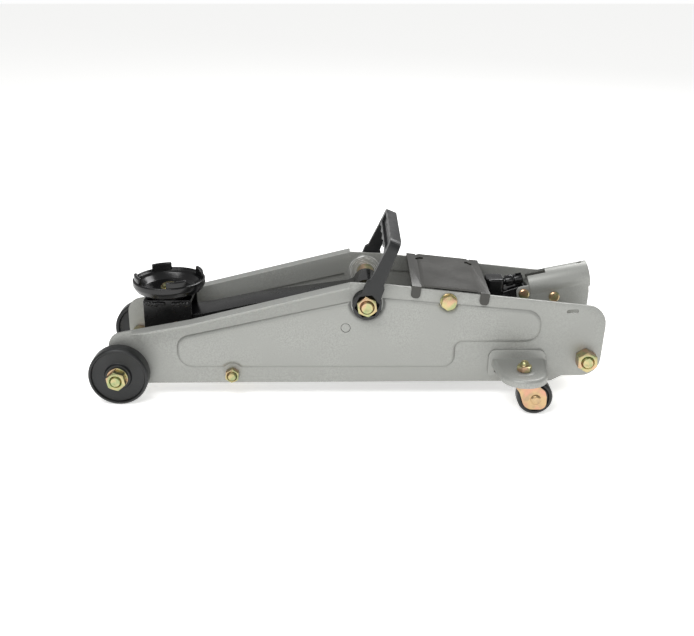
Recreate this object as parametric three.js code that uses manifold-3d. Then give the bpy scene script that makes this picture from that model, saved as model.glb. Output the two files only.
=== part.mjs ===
// Hydraulic floor jack, lowered. Millimetres, +Z up, +X towards the handle end, -Y is the left side.
// Stations along X are counted from the front axle, and the last group moves them to the jack's middle.
import * as THREE from 'three';
import { mergeVertices } from 'three/addons/utils/BufferGeometryUtils.js';
import Module from 'manifold-3d';

const wasm = await Module();
wasm.setup();

// Frame
const HALF_WIDTH = 54;
const PLATE = 3;
const GROUND_CLEARANCE = 15;
const AXLE_TO_PIVOT = 270;
const PIVOT_Z = 110;
const EDGE_ABOVE_PIVOT = 22;
const FLANGE_WIDTH = 14;
const EMBOSS = 2.5;
const DISH_RADIUS = 16.2;
const DISH_DEPTH = 3;
const TOUCH = 0.3;

// Front wheels and axle
const WHEEL_RADIUS = 32.5;
const WHEEL_WIDTH = 17.4;
const WHEEL_GAP = 6;
const AXLE_RADIUS = 6;
const SPACER_WALL = 3;

// Fasteners: thread radius, width across flats and nut height
const AXLE_NUT = { flats: 19, height: 9.5 };
const FRONT_TIE_NUT = { thread: 5, flats: 14, height: 8 };
const PIVOT_NUT = { flats: 20, height: 11 };
const REAR_TIE_NUT = { thread: 6.5, flats: 20.5, height: 14.5 };
const SADDLE_NUT = { thread: 5, flats: 16, height: 7.5 };
const SIDE_BOLT = { thread: 5, corner: 8.7, washer: 9.3, head: 7.5 };
const WASHER_RADIUS = 11.5;
const WASHER_THICKNESS = 2;

// Lift arm, saddle bracket and levelling rods
const ARM_HALF_WIDTH = 20;
const ARM_WALL = 5.5;
const ARM_HUB_RADIUS = 13;
const ARM_TIP = { x: 58, z: 70, radius: 11 };
const PIVOT_RADIUS = 10;
const SHAFT_THREAD = 7;
const RUNNING = 0.3;
const BRACKET_WALL = 4;
const BRACKET_TOP_Z = 101;
const BRACKET_FRONT_X = 22;
const BRACKET_LENGTH = 53;
const LINK_OFFSET = { x: -23, z: -28 };
const ROD_WIDTH = 14;
const ROD_THICKNESS = 5;
const PIN_RADIUS = 5;
const SIDE_GAP = 1;

// Saddle
const SADDLE_X = 48;
const SADDLE_RADIUS = 40.5;
const SADDLE_HEIGHT = 19.2;
const SADDLE_WALL = 4;
const LOBE_HEIGHT = 6.5;
const LOBE_COUNT = 4;
const LOBE_START_DEG = 10;
const LOBE_SPAN_DEG = 30;

// Hydraulic unit
const RAM_Z = 68;
const RAM_RADIUS = 11;
const RAM_PIN_RADIUS = 6;
const LEVER_ANGLE = THREE.MathUtils.degToRad(22);
const SLOT_PLAY = 3;
const SLOT_NEAR = 41;
const SLOT_FAR = 54.5;
const LEVER_HALF_WIDTH = 16;
const TANK_RADIUS = 30;
const TANK_LENGTH = 54;
const TANK_BEHIND_PIVOT = 48;
const BLOCK_LENGTH = 60;
const BLOCK_HALF_WIDTH = 32;
const BLOCK_TOP_Z = 104;
const BLOCK_BASE_Z = 36;
const SIDE_BOLT_X = 88;
const SIDE_BOLT_Z = 112;
const SPRING_RADIUS = 5;
const SPRING_WIRE = 2;

// Handle socket and pump
const SOCKET_TILT = THREE.MathUtils.degToRad(11.5);
const SOCKET_RADIUS = 15;
const SOCKET_WALL = 2.5;
const SOCKET_LENGTH = 68;
const SOCKET_UNDERSIDE = 10;
const SOCKET_FRONT = 7;
const CHEEK_STEP = 1.8;
const CHEEK_WALL = 3;
const SOCKET_PIVOT_Z = 105;
const ROLLER_REACH = 34;
const ROLLER_DROP = 3;
const ROLLER_RADIUS = 6;
const PIN_HEAD_RADIUS = 6;
const PLUNGER_RADIUS = 6.5;
const PLUNGER_HOUSING_TOP = 77;
const VALVE_TOWER_LENGTH = 20;

// Rear end and casters
const REAR_OVERHANG = 99;
const REAR_TIE_INSET = 21;
const REAR_TIE_Z = 46;
const CASTER_INSET = 94;
const CASTER_OUT = 38;
const CASTER_TRAIL = 12;
const CASTER_RADIUS = 19;
const CASTER_WIDTH = 18;
const FORK_WALL = 2.2;
const SHELF_Z = 43;
const SHELF_RADIUS = 25;

// Carry handle
const HANDLE_LEAN = THREE.MathUtils.degToRad(23);
const HANDLE_REACH = 78;
const HANDLE_BOSS_RADIUS = 15.5;
const GRIP_DEPTH = 21;
const GRIP_THICKNESS = 12;
const RECESS_FLOOR = 3;

// Cover plate
const COVER_START = 48;
const COVER_LENGTH = 84;
const COVER_SHEET = 2;

// Stations that follow from the sizes above
const PLATE_OUTER = HALF_WIDTH + PLATE;
const PANEL_OUTER = PLATE_OUTER + EMBOSS;
const PIVOT_X = AXLE_TO_PIVOT;
const TANK_FRONT = PIVOT_X + TANK_BEHIND_PIVOT;
const BLOCK_FRONT = TANK_FRONT + TANK_LENGTH + TOUCH;
const BLOCK_REAR = BLOCK_FRONT + BLOCK_LENGTH;
const FRAME_END = BLOCK_REAR + REAR_OVERHANG;
const SOCKET_PIVOT_X = BLOCK_REAR + 14;
const SOCKET_AXIS_OFFSET = SOCKET_RADIUS - SOCKET_UNDERSIDE;
const CHEEK_INNER = SOCKET_RADIUS - CHEEK_STEP - CHEEK_WALL;
const EAR_HALF_WIDTH = CHEEK_INNER - 1.2;
const ROLLER_X = SOCKET_PIVOT_X + ROLLER_REACH;
const ROLLER_Z = SOCKET_PIVOT_Z - ROLLER_DROP;
const REAR_TIE_X = FRAME_END - REAR_TIE_INSET;
const CASTER_X = FRAME_END - CASTER_INSET;
const CASTER_Y = PLATE_OUTER + CASTER_OUT;
const FRONT_TIE = { x: 122, z: GROUND_CLEARANCE + 12 };
const ANCHOR = { x: PIVOT_X + LINK_OFFSET.x, z: PIVOT_Z + LINK_OFFSET.z };
const LINK_END = { x: ARM_TIP.x + LINK_OFFSET.x, z: ARM_TIP.z + LINK_OFFSET.z };
const RAM_PIN_X = PIVOT_X + (PIVOT_Z - RAM_Z) * Math.tan(LEVER_ANGLE);
const WHEEL_INNER = PLATE_OUTER + WHEEL_GAP;
const WHEEL_OUTER = WHEEL_INNER + WHEEL_WIDTH;
const APEX = { x: PIVOT_X - 18, z: PIVOT_Z + EDGE_ABOVE_PIVOT + 1 };
const TOP_REAR = { x: FRAME_END - 23, z: 107 };
const TOP_CREST = { x: PIVOT_X + 20, z: PIVOT_Z + EDGE_ABOVE_PIVOT - 1 };
const SLOPE_START = { x: 10, z: 77 };
const SLOPE_KNEE = { x: 78, z: 90 };
const BRACKET_INNER = ARM_HALF_WIDTH + SIDE_GAP;
const BRACKET_OUTER = BRACKET_INNER + BRACKET_WALL;
const ROD_INNER = BRACKET_OUTER + SIDE_GAP;
const ROD_OUTER = ROD_INNER + ROD_THICKNESS;
const COVER_FRONT = PIVOT_X + COVER_START;
const COVER_REAR = COVER_FRONT + COVER_LENGTH;

// ---- solids ----------------------------------------------------------------------------------

function solid(geometry) {
  const plain = geometry.clone();
  plain.deleteAttribute('normal');
  plain.deleteAttribute('uv');
  const merged = mergeVertices(plain, 1e-4);
  const mesh = new wasm.Mesh({
    numProp: 3,
    vertProperties: Float32Array.from(merged.attributes.position.array),
    triVerts: Uint32Array.from(merged.index.array),
  });
  mesh.merge();
  return new wasm.Manifold(mesh);
}

function geometryOf(body) {
  const mesh = body.getMesh();
  const geometry = new THREE.BufferGeometry();
  geometry.setAttribute('position', new THREE.BufferAttribute(mesh.vertProperties, 3));
  geometry.setIndex(new THREE.BufferAttribute(mesh.triVerts, 1));
  geometry.computeVertexNormals();
  return geometry;
}

function join(...pieces) {
  return geometryOf(pieces.map(solid).reduce((whole, piece) => whole.add(piece)));
}

function cut(base, ...tools) {
  return geometryOf(tools.map(solid).reduce((whole, tool) => whole.subtract(tool), solid(base)));
}

// A box from its lowest and highest corners.
function box(low, high) {
  const size = high.map((value, i) => value - low[i]);
  const centre = high.map((value, i) => (value + low[i]) / 2);
  return new THREE.BoxGeometry(...size).translate(...centre);
}

// An outline drawn in X and Z, given thickness from y = a to y = b.
function slab(outline, a, b, segments = 5) {
  const low = Math.min(a, b);
  const high = Math.max(a, b);
  const options = { depth: high - low, bevelEnabled: false, curveSegments: segments };
  return new THREE.ExtrudeGeometry(outline, options).rotateX(Math.PI / 2).translate(0, high, 0);
}

// An outline drawn in X and Y, given height from z = a to z = b.
function layer(outline, a, b, segments = 8) {
  const options = { depth: b - a, bevelEnabled: false, curveSegments: segments };
  return new THREE.ExtrudeGeometry(outline, options).translate(0, 0, a);
}

function rodY(radius, x, z, a, b, sides = 16) {
  return new THREE.CylinderGeometry(radius, radius, Math.abs(b - a), sides).translate(x, (a + b) / 2, z);
}

function rodX(radius, y, z, a, b, sides = 16) {
  const rod = new THREE.CylinderGeometry(radius, radius, Math.abs(b - a), sides).rotateZ(Math.PI / 2);
  return rod.translate((a + b) / 2, y, z);
}

function rodZ(radius, x, y, a, b, sides = 16) {
  const rod = new THREE.CylinderGeometry(radius, radius, Math.abs(b - a), sides).rotateX(Math.PI / 2);
  return rod.translate(x, y, (a + b) / 2);
}

// A turned piece: the profile is a closed list of [radius, height] pairs about Y.
function turned(profile, sides = 20) {
  const points = profile.map(([radius, height]) => new THREE.Vector2(radius, height));
  return new THREE.LatheGeometry([...points, points[0]], sides);
}

function outline(points) {
  return new THREE.Shape(points.map(([x, z]) => new THREE.Vector2(x, z)));
}

// A bar with round ends between two points.
function capsule(from, to, radius) {
  const heading = Math.atan2(to.z - from.z, to.x - from.x);
  const shape = new THREE.Shape();
  shape.absarc(from.x, from.z, radius, heading + Math.PI / 2, heading + 1.5 * Math.PI);
  shape.absarc(to.x, to.z, radius, heading - Math.PI / 2, heading + Math.PI / 2);
  shape.closePath();
  return shape;
}

const topEdgeZ = (x) => {
  const share = (x - TOP_CREST.x) / (TOP_REAR.x - TOP_CREST.x);
  return TOP_CREST.z + share * (TOP_REAR.z - TOP_CREST.z);
};

const SIDES = { left: -1, right: 1 };
const finishes = {
  silver: { color: 0x9c9c97, roughness: 0.45, metalness: 0.5 },
  black: { color: 0x17181a, roughness: 0.4, metalness: 0.1 },
  zinc: { color: 0xb8a24e, roughness: 0.35, metalness: 0.9 },
  plastic: { color: 0x202224, roughness: 0.6, metalness: 0 },
  steel: { color: 0xc8c8c8, roughness: 0.25, metalness: 1 },
};

function piece(name, geometry, finish) {
  const mesh = new THREE.Mesh(geometry, new THREE.MeshStandardMaterial(finishes[finish]));
  mesh.name = name;
  return mesh;
}

// ---- side plates -----------------------------------------------------------------------------

function plateOutline() {
  const shape = new THREE.Shape();
  shape.moveTo(8, GROUND_CLEARANCE);
  shape.lineTo(FRAME_END - 55, GROUND_CLEARANCE + 3);
  shape.quadraticCurveTo(FRAME_END - 48, GROUND_CLEARANCE + 3, FRAME_END - 44, GROUND_CLEARANCE + 7);
  shape.quadraticCurveTo(FRAME_END - 41, GROUND_CLEARANCE + 9.5, FRAME_END - 36, GROUND_CLEARANCE + 9.5);
  shape.lineTo(FRAME_END - 26, GROUND_CLEARANCE + 9.5);
  shape.quadraticCurveTo(FRAME_END - 5, GROUND_CLEARANCE + 10, FRAME_END - 3, 45);
  shape.lineTo(FRAME_END, 86);
  shape.quadraticCurveTo(FRAME_END - 1, 105, TOP_REAR.x, TOP_REAR.z);
  shape.lineTo(TOP_CREST.x, TOP_CREST.z);
  shape.lineTo(APEX.x, APEX.z);
  shape.lineTo(SLOPE_KNEE.x, SLOPE_KNEE.z);
  shape.lineTo(SLOPE_START.x, SLOPE_START.z);
  shape.quadraticCurveTo(-13, SLOPE_START.z - 4, -13, 58);
  shape.lineTo(-13, 36);
  shape.quadraticCurveTo(-13, GROUND_CLEARANCE, 8, GROUND_CLEARANCE);
  return shape;
}

// The raised panel, drawn the same distance inside itself for the hollow at its back.
function panelOutline(inset) {
  const bottom = GROUND_CLEARANCE + 20 + inset;
  const lowerTop = 65 + inset;
  const rearEnd = BLOCK_REAR + 27 - inset;
  const step = BLOCK_FRONT - 5 - inset;
  const shape = new THREE.Shape();
  shape.moveTo(84, bottom);
  shape.lineTo(step - 12, bottom);
  shape.quadraticCurveTo(step, bottom, step, bottom + 12);
  shape.lineTo(step, lowerTop - 6);
  shape.quadraticCurveTo(step, lowerTop, step + 6, lowerTop);
  shape.lineTo(rearEnd - 18, lowerTop);
  shape.quadraticCurveTo(rearEnd, lowerTop + 1, rearEnd, 84);
  shape.quadraticCurveTo(rearEnd, 100 - inset, rearEnd - 16, 101.5 - inset);
  shape.lineTo(TOP_CREST.x + 8, 116.5 - inset);
  shape.lineTo(PIVOT_X, 115.5 - inset);
  shape.lineTo(90, 75 - inset);
  shape.quadraticCurveTo(76 + inset, 71 - inset, 66 + inset, 54);
  shape.quadraticCurveTo(68 + inset, 38 + inset, 84, bottom);
  return shape;
}

// A narrow strip under the sloping edge, turned outwards, with its front end cut to a taper.
function flange(side) {
  const start = SLOPE_START.x + 6;
  const rise = (SLOPE_KNEE.z - SLOPE_START.z) / (SLOPE_KNEE.x - SLOPE_START.x);
  const startZ = SLOPE_START.z + rise * (start - SLOPE_START.x);
  const strip = outline([
    [start, startZ], [start, startZ - PLATE],
    [SLOPE_KNEE.x, SLOPE_KNEE.z - PLATE], [APEX.x, APEX.z - PLATE],
    [APEX.x, APEX.z], [SLOPE_KNEE.x, SLOPE_KNEE.z],
  ]);
  const blank = slab(strip, side * (PLATE_OUTER - 1), side * (PLATE_OUTER + FLANGE_WIDTH));
  const taper = outline([
    [start - 5, PLATE_OUTER + 3], [start + 24, PLATE_OUTER + FLANGE_WIDTH + 1],
    [start - 5, PLATE_OUTER + FLANGE_WIDTH + 1],
  ]);
  const wedge = layer(taper, 0, 200).scale(1, side, 1);
  if (side < 0) {
    flipWinding(wedge);
  }
  return cut(blank, wedge);
}

function flipWinding(geometry) {
  const source = geometry.index ? geometry.index.array : null;
  const count = source ? source.length : geometry.attributes.position.count;
  const order = Array.from({ length: count }, (_, i) => (source ? source[i] : i));
  for (let i = 0; i < count; i += 3) {
    [order[i], order[i + 1]] = [order[i + 1], order[i]];
  }
  geometry.setIndex(order);
}

function sidePlate(side) {
  const y = (distance) => side * distance;
  const hole = (radius, x, z) => rodY(radius, x, z, y(HALF_WIDTH - 8), y(PANEL_OUTER + 4), 14);
  const blank = join(
    slab(plateOutline(), y(HALF_WIDTH), y(PLATE_OUTER)),
    slab(panelOutline(0), y(PLATE_OUTER - 0.5), y(PANEL_OUTER)),
    flange(side),
  );
  const relief = (radius, x, z) => rodY(radius, x, z, y(PLATE_OUTER), y(PANEL_OUTER + 4), 20);
  const pocket = cut(
    slab(panelOutline(PLATE), y(HALF_WIDTH - 1), y(HALF_WIDTH + EMBOSS)),
    rodY(25, PIVOT_X, PIVOT_Z, y(HALF_WIDTH - 2), y(PANEL_OUTER), 16),
    rodY(15, PIVOT_X + SIDE_BOLT_X, SIDE_BOLT_Z, y(HALF_WIDTH - 2), y(PANEL_OUTER), 12),
    rodY(18, FRONT_TIE.x, FRONT_TIE.z, y(HALF_WIDTH - 2), y(PANEL_OUTER), 12),
  );
  const pressed = cut(
    blank,
    pocket,
    relief(22, PIVOT_X, PIVOT_Z),
    relief(12, PIVOT_X + SIDE_BOLT_X, SIDE_BOLT_Z),
    relief(15, FRONT_TIE.x, FRONT_TIE.z),
  );
  const dished = join(
    pressed,
    rodY(DISH_RADIUS + PLATE, PIVOT_X, PIVOT_Z, y(HALF_WIDTH - DISH_DEPTH), y(HALF_WIDTH + 0.5), 20),
  );
  return cut(
    dished,
    rodY(DISH_RADIUS, PIVOT_X, PIVOT_Z, y(PLATE_OUTER - DISH_DEPTH), y(PANEL_OUTER + 4), 20),
    hole(AXLE_RADIUS + TOUCH, 0, WHEEL_RADIUS),
    hole(FRONT_TIE_NUT.thread + TOUCH, FRONT_TIE.x, FRONT_TIE.z),
    hole(SHAFT_THREAD + TOUCH, PIVOT_X, PIVOT_Z),
    hole(PIN_RADIUS + TOUCH, ANCHOR.x, ANCHOR.z),
    hole(SIDE_BOLT.thread + TOUCH, PIVOT_X + SIDE_BOLT_X, SIDE_BOLT_Z),
    hole(REAR_TIE_NUT.thread + TOUCH, REAR_TIE_X, REAR_TIE_Z),
    slab(capsule({ x: FRAME_END - 43, z: 99 }, { x: FRAME_END - 33, z: 100 }, 2.3),
      y(HALF_WIDTH - 3), y(PANEL_OUTER), 4),
  );
}

// ---- cross rods, nuts and bolts --------------------------------------------------------------

// A nut on an axis along Y, from its seat outwards, with both corners chamfered.
function nut(x, z, { flats, height }, thread, seat, side) {
  const corner = flats / Math.sqrt(3);
  const low = seat;
  const high = seat + height;
  const hex = rodY(corner, x, z, low, high, 6);
  const cone = turned([
    [0, low - 0.1], [corner - 0.8, low - 0.1], [corner + 0.8, low + 1.5],
    [corner + 0.8, high - 1.6], [corner - 1.4, high + 0.1], [0, high + 0.1],
  ], 12).translate(x, 0, z);
  const body = geometryOf(solid(hex).intersect(solid(cone)));
  const drilled = cut(body, rodY(thread + TOUCH, x, z, low - 1, high + 1, 12));
  return side > 0 ? drilled : drilled.translate(-x, 0, -z).rotateX(Math.PI).translate(x, 0, z);
}

// A straight rod with a thicker middle between the plates and threaded ends outside them.
function shoulderedRod(x, z, middle, thread, shoulder, end, sides = 12) {
  const shaft = turned([
    [0, -end], [thread - 0.8, -end], [thread, -end + 0.8], [thread, -shoulder], [middle, -shoulder],
    [middle, shoulder], [thread, shoulder], [thread, end - 0.8], [thread - 0.8, end], [0, end],
  ], sides);
  return shaft.translate(x, 0, z);
}

function crossParts() {
  const axleEnd = WHEEL_OUTER + 13.5;
  const inside = HALF_WIDTH - TOUCH;
  const pieces = [
    piece('front_axle_rod', rodY(AXLE_RADIUS, 0, WHEEL_RADIUS, -axleEnd, axleEnd), 'zinc'),
    piece('front_axle_spacer', tube(AXLE_RADIUS + TOUCH, AXLE_RADIUS + TOUCH + SPACER_WALL,
      0, WHEEL_RADIUS, -inside, inside), 'zinc'),
    piece('front_tie_rod', shoulderedRod(FRONT_TIE.x, FRONT_TIE.z, 8, FRONT_TIE_NUT.thread,
      inside, PLATE_OUTER + 11), 'zinc'),
    piece('pivot_shaft', shoulderedRod(PIVOT_X, PIVOT_Z, PIVOT_RADIUS, SHAFT_THREAD,
      inside - DISH_DEPTH, PLATE_OUTER + 17.5, 16), 'zinc'),
    piece('rear_tie_rod', shoulderedRod(REAR_TIE_X, REAR_TIE_Z, 9, REAR_TIE_NUT.thread,
      inside, PLATE_OUTER + 17), 'zinc'),
  ];
  const washerSeat = WHEEL_OUTER + TOUCH;
  const nutSeat = washerSeat + WASHER_THICKNESS + TOUCH;
  const plateSeat = PLATE_OUTER + TOUCH;
  const axleBore = AXLE_RADIUS + TOUCH;
  for (const [name, side] of Object.entries(SIDES)) {
    const washer = tube(axleBore, WASHER_RADIUS, 0, WHEEL_RADIUS,
      ...[side * washerSeat, side * (washerSeat + WASHER_THICKNESS)].sort((a, b) => a - b), 16);
    pieces.push(
      piece(`axle_washer_${name}`, washer, 'zinc'),
      piece(`axle_nut_${name}`, nut(0, WHEEL_RADIUS, AXLE_NUT, AXLE_RADIUS, nutSeat, side), 'zinc'),
      piece(`front_tie_nut_${name}`, nut(FRONT_TIE.x, FRONT_TIE.z, FRONT_TIE_NUT,
        FRONT_TIE_NUT.thread, plateSeat, side), 'zinc'),
      piece(`pivot_nut_${name}`, nut(PIVOT_X, PIVOT_Z, PIVOT_NUT, SHAFT_THREAD,
        PLATE_OUTER + RECESS_FLOOR + TOUCH, side), 'zinc'),
      piece(`rear_tie_nut_${name}`, nut(REAR_TIE_X, REAR_TIE_Z, REAR_TIE_NUT,
        REAR_TIE_NUT.thread, plateSeat, side), 'zinc'),
      piece(`side_bolt_${name}`, sideBolt(side), 'zinc'),
      piece(`link_anchor_${name}`, linkAnchor(side), 'zinc'),
    );
  }
  return pieces;
}

function tube(inner, outer, x, z, a, b, sides = 16) {
  return turned([[inner, a], [outer, a], [outer, b], [inner, b]], sides).translate(x, 0, z);
}

function sideBolt(side) {
  const x = PIVOT_X + SIDE_BOLT_X;
  const seat = PLATE_OUTER + TOUCH;
  return join(
    rodY(SIDE_BOLT.thread, x, SIDE_BOLT_Z, side * (HALF_WIDTH - 14), side * (seat + 1), 12),
    rodY(SIDE_BOLT.washer, x, SIDE_BOLT_Z, side * seat, side * (seat + 1.6)),
    rodY(SIDE_BOLT.corner, x, SIDE_BOLT_Z, side * (seat + 1), side * (seat + SIDE_BOLT.head), 6),
  );
}

function linkAnchor(side) {
  return join(
    rodY(PIN_RADIUS, ANCHOR.x, ANCHOR.z, side * (ROD_INNER - 0.5), side * (PANEL_OUTER - 0.1), 12),
    rodY(PIN_RADIUS + 2, ANCHOR.x, ANCHOR.z, side * (ROD_OUTER + TOUCH),
      side * (HALF_WIDTH + EMBOSS - TOUCH), 12),
  );
}

// ---- front wheels ----------------------------------------------------------------------------

// A wheel about Y whose flats, not its corners, reach the tread radius, with one flat at the bottom.
function wheelTurned(profile, sides) {
  const scale = 1 / Math.cos(Math.PI / sides);
  return turned(profile.map(([radius, y]) => [radius * scale, y]), sides).rotateY(Math.PI / sides);
}

function frontWheel(side) {
  const hubInner = -WHEEL_GAP + 2 * TOUCH;
  const w = WHEEL_WIDTH;
  const r = WHEEL_RADIUS;
  const wheel = wheelTurned([
    [AXLE_RADIUS + 0.4, hubInner], [13, hubInner], [13, 4], [r - 5, 4], [r - 4, 0], [r - 1.5, 0],
    [r, 1.5], [r, w - 1.5], [r - 1.2, w], [r - 2.6, w], [r - 3.6, w - 2.6],
    [AXLE_RADIUS + 0.4, w - 2.6],
  ], 24);
  wheel.translate(0, WHEEL_INNER, 0);
  return side > 0 ? wheel : wheel.rotateX(Math.PI);
}

// ---- lift arm --------------------------------------------------------------------------------

function alongLever(distance) {
  return {
    x: PIVOT_X + distance * Math.sin(LEVER_ANGLE),
    z: PIVOT_Z - distance * Math.cos(LEVER_ANGLE),
  };
}

const ARM_TOP = [
  { x: ARM_TIP.x, z: ARM_TIP.z + ARM_TIP.radius },
  { x: 88, z: 84 },
  { x: 141, z: 95.5 },
  { x: PIVOT_X - 18, z: PIVOT_Z + 1 },
];

function liftArm() {
  const top = ARM_TOP.map(({ x, z }) => [x, z]);
  const cheek = outline([
    ...top,
    [PIVOT_X, PIVOT_Z + ARM_HUB_RADIUS], [PIVOT_X + ARM_HUB_RADIUS, PIVOT_Z],
    [PIVOT_X, PIVOT_Z - 24], [PIVOT_X - 40, PIVOT_Z - 34], [ARM_TIP.x + 40, 66],
    [ARM_TIP.x, ARM_TIP.z - ARM_TIP.radius],
  ].reverse());
  const lever = capsule({ x: PIVOT_X, z: PIVOT_Z }, alongLever(SLOT_FAR), LEVER_HALF_WIDTH);
  const slot = capsule(alongLever(SLOT_NEAR), alongLever(SLOT_FAR), RAM_PIN_RADIUS + SLOT_PLAY);
  const inner = ARM_HALF_WIDTH - ARM_WALL;
  const webTop = [[88, 84], [141, 95.5], [APEX.x, PIVOT_Z + 1]];
  const web = outline([...webTop, ...webTop.map(([x, z]) => [x, z - 4]).reverse()]);
  const cheeks = Object.values(SIDES).map((side) => join(
    slab(cheek, side * inner, side * ARM_HALF_WIDTH),
    slab(lever, side * inner, side * ARM_HALF_WIDTH),
    rodY(ARM_TIP.radius, ARM_TIP.x, ARM_TIP.z, side * inner, side * ARM_HALF_WIDTH, 16),
  ));
  return cut(
    join(
      ...cheeks,
      slab(web, -ARM_HALF_WIDTH, ARM_HALF_WIDTH),
      rodY(ARM_HUB_RADIUS + 1, PIVOT_X, PIVOT_Z, -ARM_HALF_WIDTH, ARM_HALF_WIDTH, 20),
    ),
    slab(slot, -ARM_HALF_WIDTH - 1, ARM_HALF_WIDTH + 1),
    rodY(PIVOT_RADIUS + RUNNING, PIVOT_X, PIVOT_Z, -ARM_HALF_WIDTH - 1, ARM_HALF_WIDTH + 1),
    rodY(PIN_RADIUS + 1 + RUNNING, ARM_TIP.x, ARM_TIP.z, -ARM_HALF_WIDTH - 1, ARM_HALF_WIDTH + 1, 16),
  );
}

// ---- saddle bracket, rods and saddle ---------------------------------------------------------

function saddleBracket() {
  const x0 = BRACKET_FRONT_X;
  const x1 = BRACKET_FRONT_X + BRACKET_LENGTH;
  const top = BRACKET_TOP_Z;
  const cheek = outline([
    [x0, top], [x0, LINK_END.z + 4], [LINK_END.x - 9, LINK_END.z - 4], [LINK_END.x - 4, LINK_END.z - 9],
    [LINK_END.x + 5, LINK_END.z - 9], [x1 - 4, ARM_TIP.z - 11], [x1, ARM_TIP.z - 4], [x1, top],
  ]);
  const cheeks = Object.values(SIDES).map((side) => slab(cheek, side * BRACKET_INNER, side * BRACKET_OUTER));
  return cut(
    join(
      ...cheeks,
      box([x0, -BRACKET_OUTER, top - BRACKET_WALL], [x1, BRACKET_OUTER, top]),
      box([x0, -BRACKET_OUTER, ARM_TIP.z + 8], [x0 + BRACKET_WALL, BRACKET_OUTER, top]),
    ),
    rodZ(5 + TOUCH, SADDLE_X, 0, top - 10, top + 5, 12),
    rodY(PIN_RADIUS + 1 + RUNNING, ARM_TIP.x, ARM_TIP.z, -BRACKET_OUTER - 1, BRACKET_OUTER + 1, 16),
    rodY(PIN_RADIUS + RUNNING, LINK_END.x, LINK_END.z, -BRACKET_OUTER - 1, BRACKET_OUTER + 1, 16),
  );
}

function levellingRod(side) {
  const bar = slab(capsule(LINK_END, ANCHOR, ROD_WIDTH / 2), side * ROD_INNER, side * ROD_OUTER);
  const bores = [LINK_END, ANCHOR].map(({ x, z }) => (
    rodY(PIN_RADIUS + RUNNING, x, z, side * (ROD_INNER - 1), side * (ROD_OUTER + 1), 16)
  ));
  return cut(bar, ...bores);
}

function saddle() {
  const base = 0;
  const rim = SADDLE_HEIGHT;
  const r = SADDLE_RADIUS;
  const bowl = turned([
    [5 + TOUCH, base], [24, base], [31, base + 3], [36.5, base + 8], [r - 0.8, base + 14], [r, rim],
    [r - SADDLE_WALL, rim], [r - SADDLE_WALL - 1, rim - 5], [29, base + 7.5],
    [24, base + 6.5], [5 + TOUCH, base + 6.5],
  ], 24).rotateX(Math.PI / 2);
  const lobes = Array.from({ length: LOBE_COUNT }, (_, i) => {
    const middle = LOBE_START_DEG + (i * 360) / LOBE_COUNT;
    const from = THREE.MathUtils.degToRad(middle - LOBE_SPAN_DEG / 2);
    const to = THREE.MathUtils.degToRad(middle + LOBE_SPAN_DEG / 2);
    const arc = new THREE.Shape();
    arc.absarc(0, 0, r - 0.9, from, to);
    arc.absarc(0, 0, r - SADDLE_WALL + 0.2, to, from, true);
    arc.closePath();
    return layer(arc, rim - 2, rim + LOBE_HEIGHT, 3);
  });
  return join(bowl, ...lobes);
}

function saddleBolt() {
  const seat = 6.5 + TOUCH;
  return join(
    rodZ(5, 0, 0, -15.5, seat + 1, 12),
    rodZ(10, 0, 0, seat, seat + 1.6),
    rodZ(9, 0, 0, seat + 1, seat + 6, 6),
  );
}

// ---- hydraulic unit --------------------------------------------------------------------------

function reservoir() {
  const rear = TANK_FRONT + TANK_LENGTH;
  const shell = turned([
    [0, TANK_FRONT], [TANK_RADIUS - 10, TANK_FRONT], [TANK_RADIUS - 8, TANK_FRONT + 3],
    [TANK_RADIUS - 3, TANK_FRONT + 3], [TANK_RADIUS, TANK_FRONT + 6], [TANK_RADIUS, rear], [0, rear],
  ].map(([radius, x]) => [radius, -x]).reverse(), 24).rotateZ(Math.PI / 2);
  return cut(
    shell.translate(0, 0, RAM_Z),
    rodX(RAM_RADIUS + 0.08, 0, RAM_Z, TANK_FRONT - 5, rear + 2, 24),
  );
}

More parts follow.
